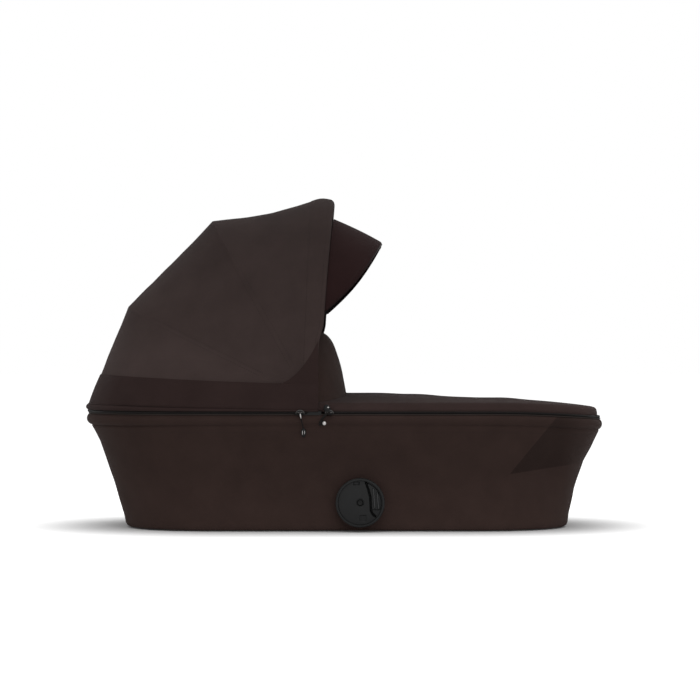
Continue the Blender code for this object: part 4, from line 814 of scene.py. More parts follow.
def fabric(name, colour, weave=0.0009, mottle=0.16, roughness=0.86):
    """A close twill: slanting ribs crossed by threads, with flecks of lighter yarn and soft patches."""
    sheen = {"Sheen Weight": 0.01, "Sheen Roughness": 0.45}
    made = new_material(name, {"Roughness": roughness, "Specular IOR Level": 0.05, **sheen})
    nodes = Nodes(made)
    cloth_place = nodes.place("UV")
    place = nodes.place()
    apart = nodes.apart(cloth_place)
    turns = 2 * pi / weave
    slant = nodes.maths("SINE", nodes.times(nodes.plus(apart["X"], apart["Y"]), turns * 0.7))
    cross = nodes.maths("SINE", nodes.times(apart["Y"], turns * 1.3))
    threads = nodes.weighed(slant, 0.62, cross, 0.38)
    yarn = nodes.noise(place, scale=1500.0, detail=2.0)
    patches = nodes.noise(place, scale=22.0, detail=4.0)
    tone = nodes.weighed(patches, 0.55, yarn, 0.45)
    tone = nodes.plus(tone, nodes.times(threads, 0.05))
    tint = nodes.ramp(tone, (0.30, 0.72), (scaled(colour, 1 - mottle), scaled(colour, 1 + mottle)))
    rough = nodes.map_range(yarn, roughness - 0.08, roughness + 0.08)
    rise = nodes.plus(threads, nodes.times(yarn, 0.8))
    slub = nodes.noise(place, scale=260.0, detail=2.0)
    normal = nodes.bump(slub, strength=0.35, distance=0.0004)
    return join(made, tint, rough, nodes.bump(rise, strength=0.7, distance=0.00016, normal=normal))


def multiply_colour(nodes, material, share):
    """Multiplies a material's colour by a share that differs from place to place."""
    colour = shader_of(material).inputs["Base Color"]
    plain = colour.links[0].from_socket
    toned = nodes.add("ShaderNodeVectorMath", {0: plain, "Scale": share}, operation="SCALE")
    material.node_tree.links.new(toned.outputs["Vector"], colour)


def paint_light_and_shade_on_cover(material):
    """Paints shade on the folded panel at the foot end, darkening its cloth, and paints light on the wall,
    which pales towards its foot.
    """
    nodes = Nodes(material)
    apart = nodes.apart(nodes.place())
    x, z = apart["X"], apart["Z"]
    from_tip = nodes.minus(x, FACET_TIP[0])
    climb = (FACET_TOP[1] - FACET_TIP[1]) / (FACET_TOP[0] - FACET_TIP[0])
    rest = (FACET_KINK[1] - FACET_TIP[1]) / (FACET_KINK[0] - FACET_TIP[0])
    rise = nodes.minus(z, FACET_TIP[1])
    under_top = nodes.minus(nodes.times(from_tip, climb), rise)
    over_fold = nodes.minus(rise, nodes.times(from_tip, rest))
    # Painted shade: full inside the folded panel's outline, fading out towards the foot end
    edge = nodes.times(nodes.maths("MINIMUM", under_top, over_fold), FACET_PAINTED_SHADE_EDGE)
    fade_start, fade_speed = FACET_PAINTED_SHADE_FADE
    fade = nodes.minus(1.0, nodes.times(nodes.minus(x, fade_start), fade_speed))
    mask = nodes.times(nodes.clamped(edge), nodes.clamped(fade))
    shade = nodes.map_range(mask, 1.0, FACET_PAINTED_SHADE)
    # Painted light: the wall's colour grows paler towards its foot, as if lit from the floor
    low = nodes.clamped(nodes.minus(1.0, nodes.maths("DIVIDE", z, FOOT_LIGHT_HEIGHT)))
    pale = nodes.map_range(nodes.maths("POWER", low, FOOT_LIGHT_CURVE), 1.0, PAINTED_FOOT_LIGHT)
    multiply_colour(nodes, material, nodes.times(shade, pale))


def paint_light_by_height(material, heights, shares):
    """Paints light and shade on a cloth: multiplies its colour by a share that changes evenly between two
    heights.
    """
    nodes = Nodes(material)
    z = nodes.apart(nodes.place())["Z"]
    up = nodes.maths("DIVIDE", nodes.minus(z, heights[0]), heights[1] - heights[0])
    multiply_colour(nodes, material, nodes.map_range(nodes.clamped(up), *shares))


def plastic(name, colour, roughness=0.42, grain=900.0):
    """Moulded plastic with a fine spark-eroded grain, a little paler where hands rub it."""
    made = new_material(name, {"Roughness": roughness, "Specular IOR Level": 0.12})
    nodes = Nodes(made)
    place = nodes.place()
    fine = nodes.noise(place, grain)
    patches = nodes.noise(place, scale=55.0)
    wear = 0.25
    tint = nodes.ramp(patches, (0.25, 0.8), (scaled(colour, 1 - wear / 2), scaled(colour, 1 + wear)))
    rough = nodes.map_range(patches, roughness - 0.07, roughness + 0.09)
    return join(made, tint, rough, nodes.bump(fine, strength=0.6, distance=0.00005))


def metal(name, colour, roughness=0.26):
    """Plated metal with faint drawn lines and dulled patches."""
    made = new_material(name, {"Roughness": roughness, "Metallic": 1.0})
    nodes = Nodes(made)
    place = nodes.place()
    lines = nodes.add("ShaderNodeMapping", {"Vector": place, "Scale": (1.0, 1.0, 14.0)}).outputs["Vector"]
    drawn = nodes.noise(lines, scale=420.0, detail=2.0)
    patches = nodes.noise(place, scale=90.0)
    tint = nodes.ramp(patches, (0.2, 0.8), (scaled(colour, 0.82), colour))
    rough = nodes.map_range(drawn, roughness - 0.08, roughness + 0.14)
    return join(made, tint, rough, nodes.bump(drawn, strength=0.25, distance=0.00004))


# Tub


def facet_depth(points):
    """How far the folded panel at the foot end stands in from the plain wall."""
    x, z = points[..., 0], points[..., 2]
    reach = np.clip((x - FACET_TIP[0]) / (FACET_KINK[0] - FACET_TIP[0]), 0.0, 1.0)
    fold = mix(FACET_TIP[1], FACET_KINK[1], 1 - (1 - reach) ** 2)
    climb = np.clip((x - FACET_TIP[0]) / (FACET_TOP[0] - FACET_TIP[0]), 0.0, 1.0)
    edge = mix(FACET_TIP[1] + FACET_SOFT, FACET_TOP[1], climb)
    depth = FACET_DEPTH * smoothstep(FACET_TIP[0] - FACET_SOFT, FACET_FULL, x)
    depth = depth * (1 - smoothstep(*FACET_FADE, x))
    above = 1 - (z - fold) / np.maximum(edge - fold, FACET_SOFT)
    below = z / fold
    lower = -FACET_SHARP * np.log(np.exp(-above / FACET_SHARP) + np.exp(-below / FACET_SHARP))
    return depth * np.clip(lower, 0.0, 1.0)


def tub_wall(stations):
    """The cover's outer face, from its turned-in foot up the wall and over the rim tube."""
    under = [wall_points(stations, 0.0, inset) for inset in COVER_UNDER_INSETS]
    corner = []
    for angle in np.radians(COVER_CORNER_TURNS):
        inset, lift = COVER_CORNER * (1 - cos(angle)), COVER_CORNER * (1 + sin(angle))
        corner.append(wall_points(stations, 0.0, inset, lift))
    wall = [wall_points(stations, height) for height in np.linspace(*COVER_WALL)]
    away = np.linalg.norm((rim_points(stations) - wall[-1])[:, :2], axis=1)
    first = -np.arccos(np.clip((TUBE_INSET - away) / ROLL_RADIUS, -0.9, 1.0))
    roll = []
    for share in np.linspace(0.0, 1.0, 11):
        angle = mix(first, ROLL_END, share)
        inset = TUBE_INSET - ROLL_RADIUS * np.cos(angle)
        roll.append(rim_points(stations, inset, ROLL_RADIUS * np.sin(angle)))
    return np.stack(under + corner + wall + roll)


def make_tub_cover(material, thread):
    """The tub's cloth, pulled over the rim tube, with a hole behind each hub."""
    stations = all_round(460)
    points = tub_wall(stations)
    normals = plan_normals(stations)
    height = np.clip(wall_share(points[..., 2]), 0.0, 1.0)
    ease = np.clip(np.sin(pi * height), 0.0, 1.0)
    upright = points * np.array((1.0, 1.0, 0.35))
    slack = ripples(upright, COVER_SLACK) + ripples(points, COVER_CREASES)
    slack *= ease * smoothstep(HUB_RADIUS, HUB_RADIUS + HUB_FLAT, from_hub(points))
    points = points + normals[None] * (slack - facet_depth(points))[..., None]

    def at_hub(centres):
        return (from_hub(centres) < HUB_HOLE_RADIUS) & (np.abs(centres[:, 1]) > 0.1)

    cover = grid_piece("tub_cover", points, material, closed=True, skip=at_hub, thickness=COVER_THICKNESS)
    dress(cover, "cot", "shell_cover")
    row = stitch_row("cover_stitches", points[COVER_STITCH_ROW], normals, thread)
    dress(row, "cot")


def make_lining(material):
    """The quilted lining, from its flange on the rim tube down the wall and over the floor."""
    stations = all_round(420)
    arc = np.linspace(0.0, 1.0, stations.shape[1], endpoint=False)
    length = lengths_along(rim_points(stations), 0)[-1]
    channels = round(length / QUILT_PITCH)
    puff = np.abs(np.sin(pi * arc * channels)) ** 0.6
    rows = [rim_points(stations, inset, FLANGE_RISE) for inset in np.linspace(*FLANGE_INSETS)]
    for angle in np.radians((25, 50, 75)):
        inset = FLANGE_INSETS[1] + LINING_CORNER * sin(angle)
        rows.append(rim_points(stations, inset, FLANGE_RISE - LINING_CORNER * (1 - cos(angle))))
    low = wall_share(LINING_LOW)
    for height in np.linspace(1.0, low, 30):
        inset = mix(LINING_BASE_INSET, LINING_RIM_INSET, height**2) + 0.0018
        bulge = QUILT_DEPTH * puff * smoothstep(*QUILT_TOP, height) * smoothstep(*QUILT_FOOT, height)
        rows.append(wall_points(stations, height, inset + bulge))
    floor = wall_points(stations, low, LINING_BASE_INSET + 0.005, -0.0006)
    rows += [floor, *(drawn_in(floor, share) for share in LINING_FLOOR_SHARES)]

    def in_notch(centres):
        x, y, z = centres.T
        return (x > NOTCH_X[0]) & (x < NOTCH_X[1]) & (np.abs(y) > NOTCH_ASIDE) & (z > RIM_HEIGHT + 0.002)

    points = np.stack(rows)
    lining = grid_piece("quilted_lining", points, material, closed=True, skip=in_notch, inside=(0, 0, 0.12))
    lining.data.flip_normals()
    thicken(lining, LINING_THICKNESS)
    dress(lining, "cot", "lining")


def make_mattress(material):
    """A foam mattress with a crowned top, rounded edges and a piped seam round the middle of its side."""
    stations = all_round(300)
    low = wall_share(MATTRESS_LOW)
    inset = LINING_BASE_INSET + MATTRESS_GAP
    middle = (MATTRESS_LOW + MATTRESS_TOP) / 2 - MATTRESS_LOW
    half = (MATTRESS_TOP - MATTRESS_LOW) / 2
    side = []
    for angle in np.radians(np.linspace(-90, 90, 15)):
        draw = MATTRESS_EDGE * (1 - cos(angle))
        rise = half * np.sign(sin(angle)) * abs(sin(angle)) ** 0.75
        side.append(wall_points(stations, low, inset + 0.0012 + draw, middle + rise))
    bottom = [drawn_in(side[0], share) for share in (0.97, 0.6, 0.3)]
    top = []
    for share in (*np.linspace(0.04, 0.9, 18), 0.97):
        ring = drawn_in(side[-1], share, 0.55)
        ring[:, 2] += MATTRESS_CROWN * (1 - (1 - share) ** 2)
        top.append(ring)
    points = np.stack(bottom + side + top)
    points[..., 2] += ripples(points, MATTRESS_SLACK) * smoothstep(0.035, 0.045, points[..., 2])
    mattress = close_ends(grid_piece("foam_mattress", points, material, closed=True, inside=(0, 0, 0.03)))
    dress(mattress, "cot", "mattress")
    seam = rope("mattress_piping", wall_points(stations, low, inset, middle), 0.0016, material, True)
    dress(seam, "cot")


# Hood


def arch_points(rise, radius, half_width, lean=BOW_LEAN, low=None):
    """A bow's outline in its own plane, from right foot over crown to left foot, as along and across."""
    turn = np.linspace(0.0, pi / 2, 120)
    power = 2 / BOW_ROUNDNESS
    share = np.sin(turn) ** power
    across = half_width * (1 - lean * share) * np.cos(turn).clip(0.0) ** power
    right = np.stack([rise + (radius - rise) * share, -across], axis=1)
    if low is not None:
        leg = np.stack([np.linspace(low, rise, 16, endpoint=False), np.full(16, -half_width)], axis=1)
        right = np.concatenate([leg, right])
    return np.concatenate([right, right[-2::-1] * np.array((1.0, -1.0))])


def moved_in(outline, distance):
    """The outline moved towards the hood's middle."""
    ahead = unit(np.gradient(outline, axis=0))
    return outline + np.asarray(distance)[..., None] * np.stack([-ahead[:, 1], ahead[:, 0]], axis=1)


def fan_points(angle, outline, aside=0.0, pivot=PIVOT):
    """Points of a bow's plane in the frame. aside is square to the plane, towards the front."""
    a = radians(angle)
    along, across = outline[:, 0], outline[:, 1]
    x = pivot[0] + along * cos(a) + aside * sin(a)
    return stacked(x, across, pivot[1] + along * sin(a) - aside * cos(a))


def crown_share(count, power=2):
    """How near each of an outline's points is to the crown: 0 at either foot and 1 at the crown."""
    return np.sin(pi * np.linspace(0.0, 1.0, count)) ** power


def swelling(share, height, power):
    """The rise of a filled edge at a share of its width, with none at either side."""
    return height * sin(pi * share) ** power if 0 < share < 1 else 0.0


def band_top(x):
    """The seam over the band: level along the side and rising towards the head."""
    share = np.clip((BAND_START - x) / (BAND_START + RIM_HALF_LENGTH - BAND_HEAD_LEAN), 0.0, 1.0)
    return mix(BAND_SIDE_TOP, BAND_HEAD_TOP, share**1.2)


def hem_roll(x):
    """The radius of the rolled hem at the band's foot, which thins out towards the front."""
    start, length = HEM_ROLL_THINS
    return mix(HEM_ROLL_FRONT, HEM_ROLL, np.clip((start - x) / length, 0.0, 1.0))


def make_band(material, thread):
    """The band between the zip and the canopy, with its rolled hem, up to the hood's front edge."""
    stations = end_stations(BAND_FRONT, 420, -1)
    x = rim_points(stations)[:, 0]
    roll = hem_roll(x)
    rows = [rim_points(stations, np.maximum(ROLL_TUCK, 2 * roll), BAND_LOW - ROLL_OUT)]
    for angle in np.radians(ROLL_TURNS):
        inset, rise = roll * (1 - cos(angle)) - ROLL_OUT, BAND_LOW + roll * (1 + sin(angle))
        rows.append(rim_points(stations, inset, rise))
    start = BAND_LOW + 2 * roll
    rows.append(rim_points(stations, ROLL_GROOVE * roll / HEM_ROLL, start + 0.0003))
    hem_rows = len(rows)
    top = band_top(x) - rim_level(stations)
    for share in BAND_SHARES:
        rise = mix(start, top, share)
        lean = BAND_HEAD_LEAN * (rise - BAND_LOW) / (BAND_HEAD_TOP - RIM_HEIGHT - BAND_LOW)
        rows.append(rim_points(stations, 0.0002 - swelling(share, BAND_SWELL, 0.7), rise, lean))
    points = np.stack(rows)
    ease = smoothstep(0.0, 0.25, np.linspace(0, 1, len(rows)))[:, None] * np.ones(points.shape[1])
    slack = ripples(points, BAND_SLACK) * ease
    points[..., :2] += (plan_normals(stations, False)[None] * slack[..., None])[..., :2]
    band = grid_piece("hood_skirt_band", points, material, inside=(-0.2, 0, 0.22), thickness=BAND_THICKNESS)
    dress(band, "cot", "hood_band")
    upper = points[hem_rows:]
    rows = [
        stitch_edge("band_top_stitches", upper, STITCH_MARGIN, thread, "cot", True),
        stitch_edge("band_hem_stitches", upper, STITCH_MARGIN, thread, "cot"),
    ]


def gusset_top(x):
    """The curved seam over the gusset, from the band's top up to the hood's front corner."""
    share = np.clip((x - GUSSET_START) / (BAND_FRONT + 0.0014 - GUSSET_START), 0.0, 1.0)
    return BAND_SIDE_TOP + GUSSET_RISE * share**GUSSET_CURVE


def make_gusset(word, side, material):
    """The corner between band, canopy and front hem."""
    across = np.linspace(0.0, 1.0, 25)
    x = mix(GUSSET_START + 0.010, BAND_FRONT, across)
    rows = []
    for share in np.linspace(0.0, 1.0, 15):
        out = HALF_WIDTH - 0.0002 + GUSSET_SWELL * np.sin(pi * across) * sin(pi * share)
        rows.append(stacked(x, side * out, mix(BAND_SIDE_TOP, gusset_top(x), share)))
    points, inside = np.stack(rows), (-0.07, 0, 0.25)
    gusset = grid_piece(f"hood_corner_{word}", points, material, inside=inside, thickness=BAND_THICKNESS)
    dress(gusset, "cot", f"hood_gusset_{word}")
    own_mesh(gusset)


def panel_rows(first, last, rows, sag, seed):
    """Rows of a panel drawn tight between two curves, with a little sag at the crown and soft slack."""
    shares = np.linspace(0.0, 1.0, rows)[:, None, None]
    points = mix(first[None], last[None], shares)
    inward = unit(np.array(HOOD_MIDDLE) - points)
    hang = np.sin(pi * shares[..., 0])
    slack = ripples(points, (0.0009, 0.12, seed), (0.0005, 0.05, seed + 50))
    slack *= smoothstep(0.05, 0.17, 0.5 - np.abs(np.linspace(-0.5, 0.5, len(first))))
    return points + inward * (hang * (sag * crown_share(len(first), 4) + slack))[..., None]


def bow_outline(bow, count):
    """The outline over which a bow's cloth lies, and how near each of its points is to the crown."""
    _, rise, radius, low = bow
    return resample(arch_points(rise, radius, HALF_WIDTH - HOOD_FABRIC, low=low), count), crown_share(count)


def bow_arch(bow, aside=0.0, drop=0.0):
    outline, crown = bow_outline(bow, 141)
    return fan_points(bow[0], moved_in(outline, drop * crown), aside)


def make_canopy(material, thread):
    """The canopy's three panels: band to rear bow, rear to middle bow, and on to the front hem."""
    seam = rim_points(end_stations(CANOPY_START, 141, -1), HOOD_FABRIC, 0.0, BAND_HEAD_LEAN)
    seam[:, 2] = band_top(seam[:, 0]) - 0.0006
    front = bow_arch(FRONT_BOW, -HEM_BACK, HEM_BACK_DROP)
    curves = (seam, bow_arch(REAR_BOW), bow_arch(MIDDLE_BOW), front)
    bodies = ("cot", "rear_bow", "middle_bow", "front_bow")
    for number, (word, sag, length, area) in enumerate(CANOPY_PANELS):
        node = f"canopy_{word}"
        low_body, high_body = bodies[number : number + 2]
        points = panel_rows(*curves[number : number + 2], 15, sag, 60 + number)
        panel = grid_piece(f"{node}_cloth", points, material, inside=HOOD_MIDDLE, thickness=CANOPY_THICKNESS)
        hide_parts(node)
        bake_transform(panel)
        rows, inner = [], points[:, 6:-6]
        for end, body in (("back", low_body), ("front", high_body)):
            if body in ("rear_bow", "middle_bow"):
                name = f"{node}_{end}_stitches"
                rows.append(stitch_edge(name, inner, WIDE_MARGIN, thread, body, end == "front"))


def hem_reach(outline, crown):
    """How far in front of its bow the hem reaches: further at the crown, less at the feet."""
    return HEM_FORE + HEM_CROWN_FORE * crown - HEM_LOW_DRAW * (1 - smoothstep(*HEM_LOW, outline[:, 0]))


def make_front_hem(material, thread):
    """Cloth folded over the front bow, fuller at the crown, and turned under along its front edge."""
    angle = FRONT_BOW[0]
    outline, crown = bow_outline(FRONT_BOW, 161)
    fore = hem_reach(outline, crown)
    corner = mix(*HEM_CORNER, crown)
    depth = mix(*HEM_DEPTH, crown**2)
    rows = []
    for share in HEM_SHARES:
        aside = mix(-HEM_BACK, fore - corner, share)
        back = np.clip((STRIP_HALF - aside) / (HEM_BACK + STRIP_HALF), 0.0, 1.0)
        drop = HEM_BACK_DROP * crown * back**1.5
        rows.append(fan_points(angle, moved_in(outline, drop - swelling(share, HEM_PUFF, 0.6)), aside))
    for turn in np.radians(HEM_TURNS):
        aside = fore - corner + corner * sin(turn)
        rows.append(fan_points(angle, moved_in(outline, corner * (1 - cos(turn))), aside))
    for share in HEM_TURNED_IN:
        rows.append(fan_points(angle, moved_in(outline, mix(corner, depth, share)), fore - 0.0012 * share))
    points = np.stack(rows)
    hem = grid_piece("front_hem_cloth", points, material, inside=HOOD_MIDDLE, thickness=HEM_THICKNESS)
    dress(hem, "front_bow", "front_hem")
    back, front = points[: len(HEM_SHARES)], points[: len(HEM_SHARES) + 1]
    rows = [
        stitch_edge("hem_back_stitches", back, STITCH_MARGIN, thread, "front_bow"),
        stitch_edge("hem_front_stitches", front, WIDE_MARGIN, thread, "front_bow", True),
    ]


def visor_edges(count):
    """The visor's seam under the front hem, the edge round its own bow, and that edge turned under."""
    fine, crown = bow_outline(FRONT_BOW, 1201)
    inner = moved_in(fine, VISOR_SIDE_DROP + VISOR_CROWN_DROP * crown**2)
    seam = fan_points(FRONT_BOW[0], inner, hem_reach(fine, crown) + 0.0006)
    seam = resample(seam[inner[:, 0] >= VISOR_ALONG + VISOR_START], count)
    hoop = arch_points(VISOR_START, VISOR_RADIUS + VISOR_OVER, VISOR_LEG_OUT + VISOR_OVER, VISOR_LEAN)
    hoop = resample(hoop, count)
    near_pin = VISOR_PIN_ROOM * (1 - smoothstep(*VISOR_PIN_REACH, hoop[:, 0]))
    hoop[:, 1] += near_pin * np.sign(hoop[:, 1])
    forward = VISOR_AHEAD + VISOR_BULGE * np.sin(pi * np.clip(hoop[:, 0] / VISOR_RADIUS, 0.0, 1.0))
    edge = fan_points(VISOR_ANGLE, hoop, forward, VISOR_PIVOT)
    turned_in = moved_in(hoop, mix(*VISOR_UNDER, crown_share(count)))
    return seam, edge, fan_points(VISOR_ANGLE, turned_in, forward - 0.0004, VISOR_PIVOT)


def make_visor(material, thread):
    """The sun visor: cloth from the front hem out to its own bow, with a bound edge."""
    count = 141
    first, last, under = visor_edges(count)
    fullness = crown_share(count)
    reach = np.linalg.norm(last - first, axis=1)
    turn_at = 1 - np.minimum(mix(*VISOR_TURN, fullness) / reach, 0.5)
    begun = mix(first, last, turn_at[:, None])
    flat_rows = np.linspace(0.0, 1.0, 12)
    points = mix(first[None], begun[None], flat_rows[:, None, None])
    hang = np.sin(pi * flat_rows)[:, None] * fullness
    points[..., 2] += VISOR_HANG * hang - ripples(points, VISOR_SLACK) * hang
    bend = np.linspace(0.0, 1.0, 8)[1:, None, None]
    folded = (1 - bend) ** 2 * begun + 2 * bend * (1 - bend) * last + bend**2 * under
    points = np.concatenate([points, folded])
    visor = grid_piece("visor_cloth", points, material, inside=HOOD_MIDDLE, thickness=CANOPY_THICKNESS)
    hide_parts("visor_fabric")
    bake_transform(visor)
    stitched = points[: len(flat_rows) + 1, 18:-18]
    row = stitch_edge("visor_edge_stitches", stitched, WIDE_MARGIN, thread, "visor", True)
    rows = [row, dress(rope("visor_binding", under[2:-2], 0.0016, material), "visor")]


# Apron and wind flap


def apron_border(share):
    """Where the apron's head edge is, at a share of the way in from the side."""
    return mix(APRON_SIDE_START, APRON_MIDDLE_START, 1 - (1 - share) ** 3)


def apron_points(stations, share, rise, inset):
    """Points of the apron: share runs from the rim in to its spine."""
    end = stations[1]
    x, y, z = rim_points(stations, inset, rise).T
    stretch = np.clip((x - APRON_SIDE_START) / (RIM_STRAIGHT - APRON_SIDE_START), 0.0, 1.0)
    border = apron_border(share) - APRON_EAR * (1 - smoothstep(0.0, APRON_EAR_WIDTH, share))
    x = np.where(end == 0, mix(border, RIM_STRAIGHT, stretch), x)
    spine_x = np.minimum(x, APRON_SPINE_END)
    drop = RIM_FOOT_DROP * (spine_x - APRON_MIDDLE_START) / (2 * RIM_HALF_LENGTH)
    crown = APRON_CROWN * (1 - APRON_CROWN_LOSS * smoothstep(*APRON_CROWN_FALL, x))
    z = mix(z, RIM_HEIGHT + rise - drop, share) + crown * (1 - (1 - share) ** 2)
    return stacked(mix(x, spine_x, share), y * (1 - share), z)


def make_apron(material, thread):
    """The foot cover: a short skirt on the zip's tape, a rounded edge and a low crown."""
    stations = end_stations(APRON_SIDE_START, 300, 1)
    top = APRON_LOW + APRON_SKIRT
    low = APRON_LOW + APRON_START_RISE * (1 - smoothstep(*APRON_START_END, rim_points(stations)[:, 0]))
    rows = []
    for share in (0.0, 0.3, 0.7):
        inset = APRON_INSET - APRON_SWELL * sin(pi * share)
        rows.append(apron_points(stations, 0.0, mix(low, top, share), inset))
    for turn in np.radians(APRON_CORNER_TURNS):
        inset = APRON_INSET + APRON_CORNER * (1 - cos(turn))
        rows.append(apron_points(stations, 0.0, top + APRON_CORNER * sin(turn), inset))
    edge_row = len(rows) - 1
    for share in np.linspace(0.0, 1.0, 26)[1:]:
        rows.append(apron_points(stations, share, top + APRON_CORNER, APRON_INSET + APRON_CORNER))
    points = np.stack(rows)
    inner = smoothstep(0.0, 0.35, np.clip(np.arange(len(rows)) - edge_row - 1, 0, None) / 25)[:, None]
    points[..., 2] += ripples(points, *APRON_SLACK) * inner
    apron = grid_piece("apron_cloth", points, material, inside=(0.2, 0, 0.1), thickness=APRON_THICKNESS)
    dress(apron, "cot", "apron")
    rows = []
    for row, word in ((edge_row, "edge"), (edge_row + 2, "top")):
        normals = outward(points, row)[4:-4]
        stitches = stitch_row(f"apron_{word}_stitches", points[row, 4:-4], normals, thread)
        rows.append(dress(stitches, "cot"))


def flap_points():
    """Rows of the wind flap, from the apron's head edge upwards, leaning and wrapping towards the head."""
    across = np.linspace(-1.0, 1.0, 81)
    aside = np.abs(across)
    share = 1 - aside * FLAP_HALF_WIDTH / (HALF_WIDTH - APRON_INSET - APRON_CORNER)
    base_x = apron_border(share) - 0.0008 - FLAP_CORNER * aside**8
    base_z = RIM_HEIGHT + APRON_LOW + APRON_SKIRT + APRON_CORNER + APRON_CROWN * (1 - (1 - share) ** 2)
    base_z = base_z - APRON_THICKNESS / 2
    height = mix(FLAP_HEIGHT, FLAP_SIDE_HEIGHT, aside**2.5)
    rows = []
    for up in np.linspace(0.0, 1.0, 25):
        lean = FLAP_LEAN * (0.75 * up + 0.25 * up**3) + FLAP_WRAP * aside**3 * up
        rise = height * sin(up * pi / 2) ** 0.9
        rows.append(stacked(base_x - lean, across * FLAP_HALF_WIDTH, base_z + rise))
    points = np.stack(rows)
    ease = np.sin(pi * np.linspace(0.0, 1.0, 25))[:, None] * (1 - aside**6)
    points[..., 0] += ripples(points, *FLAP_SLACK) * ease
    return points


def make_wind_flap(material, thread):
    """The flap that stands up from the apron's head edge into the hood, with a bound edge."""
    points = flap_points()
    flap = grid_piece("wind_flap_cloth", points, material, inside=FLAP_INSIDE, thickness=FLAP_THICKNESS)
    dress(flap, "wind_flap", "wind_flap")
    inner = points[:, 4:-4]
    row = stitch_edge(
        "wind_flap_stitches", inner, FLAP_MARGIN, thread, "wind_flap", True, FLAP_INSIDE
    )
    edge = np.concatenate([points[:, 0], points[-1, 1:-1], points[::-1, -1]])
    binding = rope("wind_flap_binding", edge[3:-3], 0.0017, material)
    rows = [row, dress(binding, "wind_flap")]


# Zips


def make_zip(word, tape_look, tooth_look):
    """A zip along the rim: its tape, its coil and a tooth every few millimetres."""
    start, toward, inset, length = ZIPS[word]
    stations = end_stations(start, 700, toward)
    height = ZIP_RISE + ZIP_COIL_HEIGHT / 2
    insets = (0.0, 0.0030, 0.0065, ZIP_TAPE_WIDTH - inset)
    rows = np.stack([rim_points(stations, inset + i, ZIP_RISE + 0.0005) for i in insets])
    tape = grid_piece(f"{word}_zip_tape", rows, tape_look, inside=(0, 0, -5), thickness=0.0008)
    coil = rope(f"{word}_zip_coil", rim_points(stations, inset + 0.0006, height), 0.0015, tape_look, sides=8)
    face = rim_points(stations, inset - 0.0011, height)
    centres, _, outward_there = along_path(face, TOOTH_PITCH, plan_normals(stations, False))
    up = np.tile((0.0, 0.0, 1.0), (len(centres), 1))
    teeth = beads(f"{word}_zip_teeth", centres, up, outward_there, TOOTH_SIZE, tooth_look)
    dress(tape, "cot", f"{word}_zip_chain")
    for made in (coil, teeth):
        dress(made, "cot")


def pebble(name, place, size, side, material, taper=0.0, square=1.0, turn=0.0):
    """A smooth flat pebble, seen from its side, with its front domed. taper narrows it towards its foot."""
    angles = np.linspace(0.0, 2 * pi, 48, endpoint=False)
    x, y, z = place
    width, height, depth = (s / 2 for s in size)
    rows = []
    for part in np.linspace(0.03, pi - 0.03, 17):
        share = sin(part) ** square
        across = width * share * np.cos(angles)
        up = height * share * np.sin(angles)
        across = across * (1 + taper * up / height)
        turned_x = x + across * cos(turn) - up * sin(turn)
        turned_z = z + across * sin(turn) + up * cos(turn)
        rows.append(stacked(turned_x, side * (y + depth * cos(part)), turned_z))
    return close_ends(grid_piece(name, np.stack(rows), material, closed=True, inside=(x, side * y, z)))


def make_slider(name, x, side, looks):
    """A domed slider on the coil, with a bow over it that holds the pull."""
    place = (x, SLIDER_OUT, ZIP_MIDDLE)
    body = pebble(f"{name}_slider_body", place, SLIDER_SIZE, side, looks["black"], 0.12, 0.7)
    turn = np.linspace(0.0, pi, 17)
    out = HALF_WIDTH + 0.0024 + 0.0026 * np.sin(turn)
    bow = stacked(x + 0.0046 * np.cos(turn), side * out, ZIP_MIDDLE + 0.0004)
    rise = ZIP_MIDDLE - 0.001 + 0.0048 * np.sin(turn)
    edge = stacked(x + 0.0064 * np.cos(turn), side * (HALF_WIDTH + 0.0014), rise)
    dress(body, f"{name}_slider", f"{name}_slider")
    for word, path, radius in (("bow", bow, 0.0008), ("edge", edge, 0.0007)):
        made = rope(f"{name}_slider_{word}", path, radius, looks["dark"], sides=8)
        dress(made, f"{name}_slider")


def make_slider_shade_and_glint(name, x, side, looks):
    """A dark cap and a bright bead over an apron slider, which the photo shows above it: the cap stands in
    for the shade beside the slider, a painted shadow, and the bead for its glint, a painted highlight.
    """
    place = (x - 0.0034, SLIDER_OUT, ZIP_MIDDLE + 0.0058)
    cap = pebble(f"{name}_slider_cap", place, SHADOW_CAP_SIZE, side, looks["black"], 0.1, 0.7, radians(28))
    place = (x - 0.0018, HALF_WIDTH + 0.0026, ZIP_MIDDLE + 0.0084)
    crown = pebble(f"{name}_slider_glint_bead", place, GLINT_BEAD_SIZE, side, looks["bright"])
    for made in (cap, crown):
        dress(made, f"{name}_slider")


def pull_cord(name, x, side, route, radius, look):
    """The flat cord of a pull, and the path that it follows down from its slider."""
    places = [(x + along, side * (PULL_OUT + out), ZIP_MIDDLE + up) for along, out, up in route]
    path = resample(np.array(places), 30)
    cord = rope(f"{name}_pull_cord_new", path, radius, look, sides=8)
    dress(cord, f"{name}_pull", f"{name}_pull_cord")
    return path


def pull_beads(name, x, side, spots, look):
    """The metal at the end of a pull, from the place and the size of each bead as X and Z."""
    made = []
    for number, (along, up, wide, high) in enumerate(spots):
        place, size = (x + along, PULL_OUT + 0.0012, ZIP_MIDDLE + up), (wide, high, BEAD_DEPTH)
        made.append(pebble(f"{name}_pull_bead_{number}", place, size, side, look, 0.0, 0.6))
    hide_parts(f"{name}_pull_end")
    return made


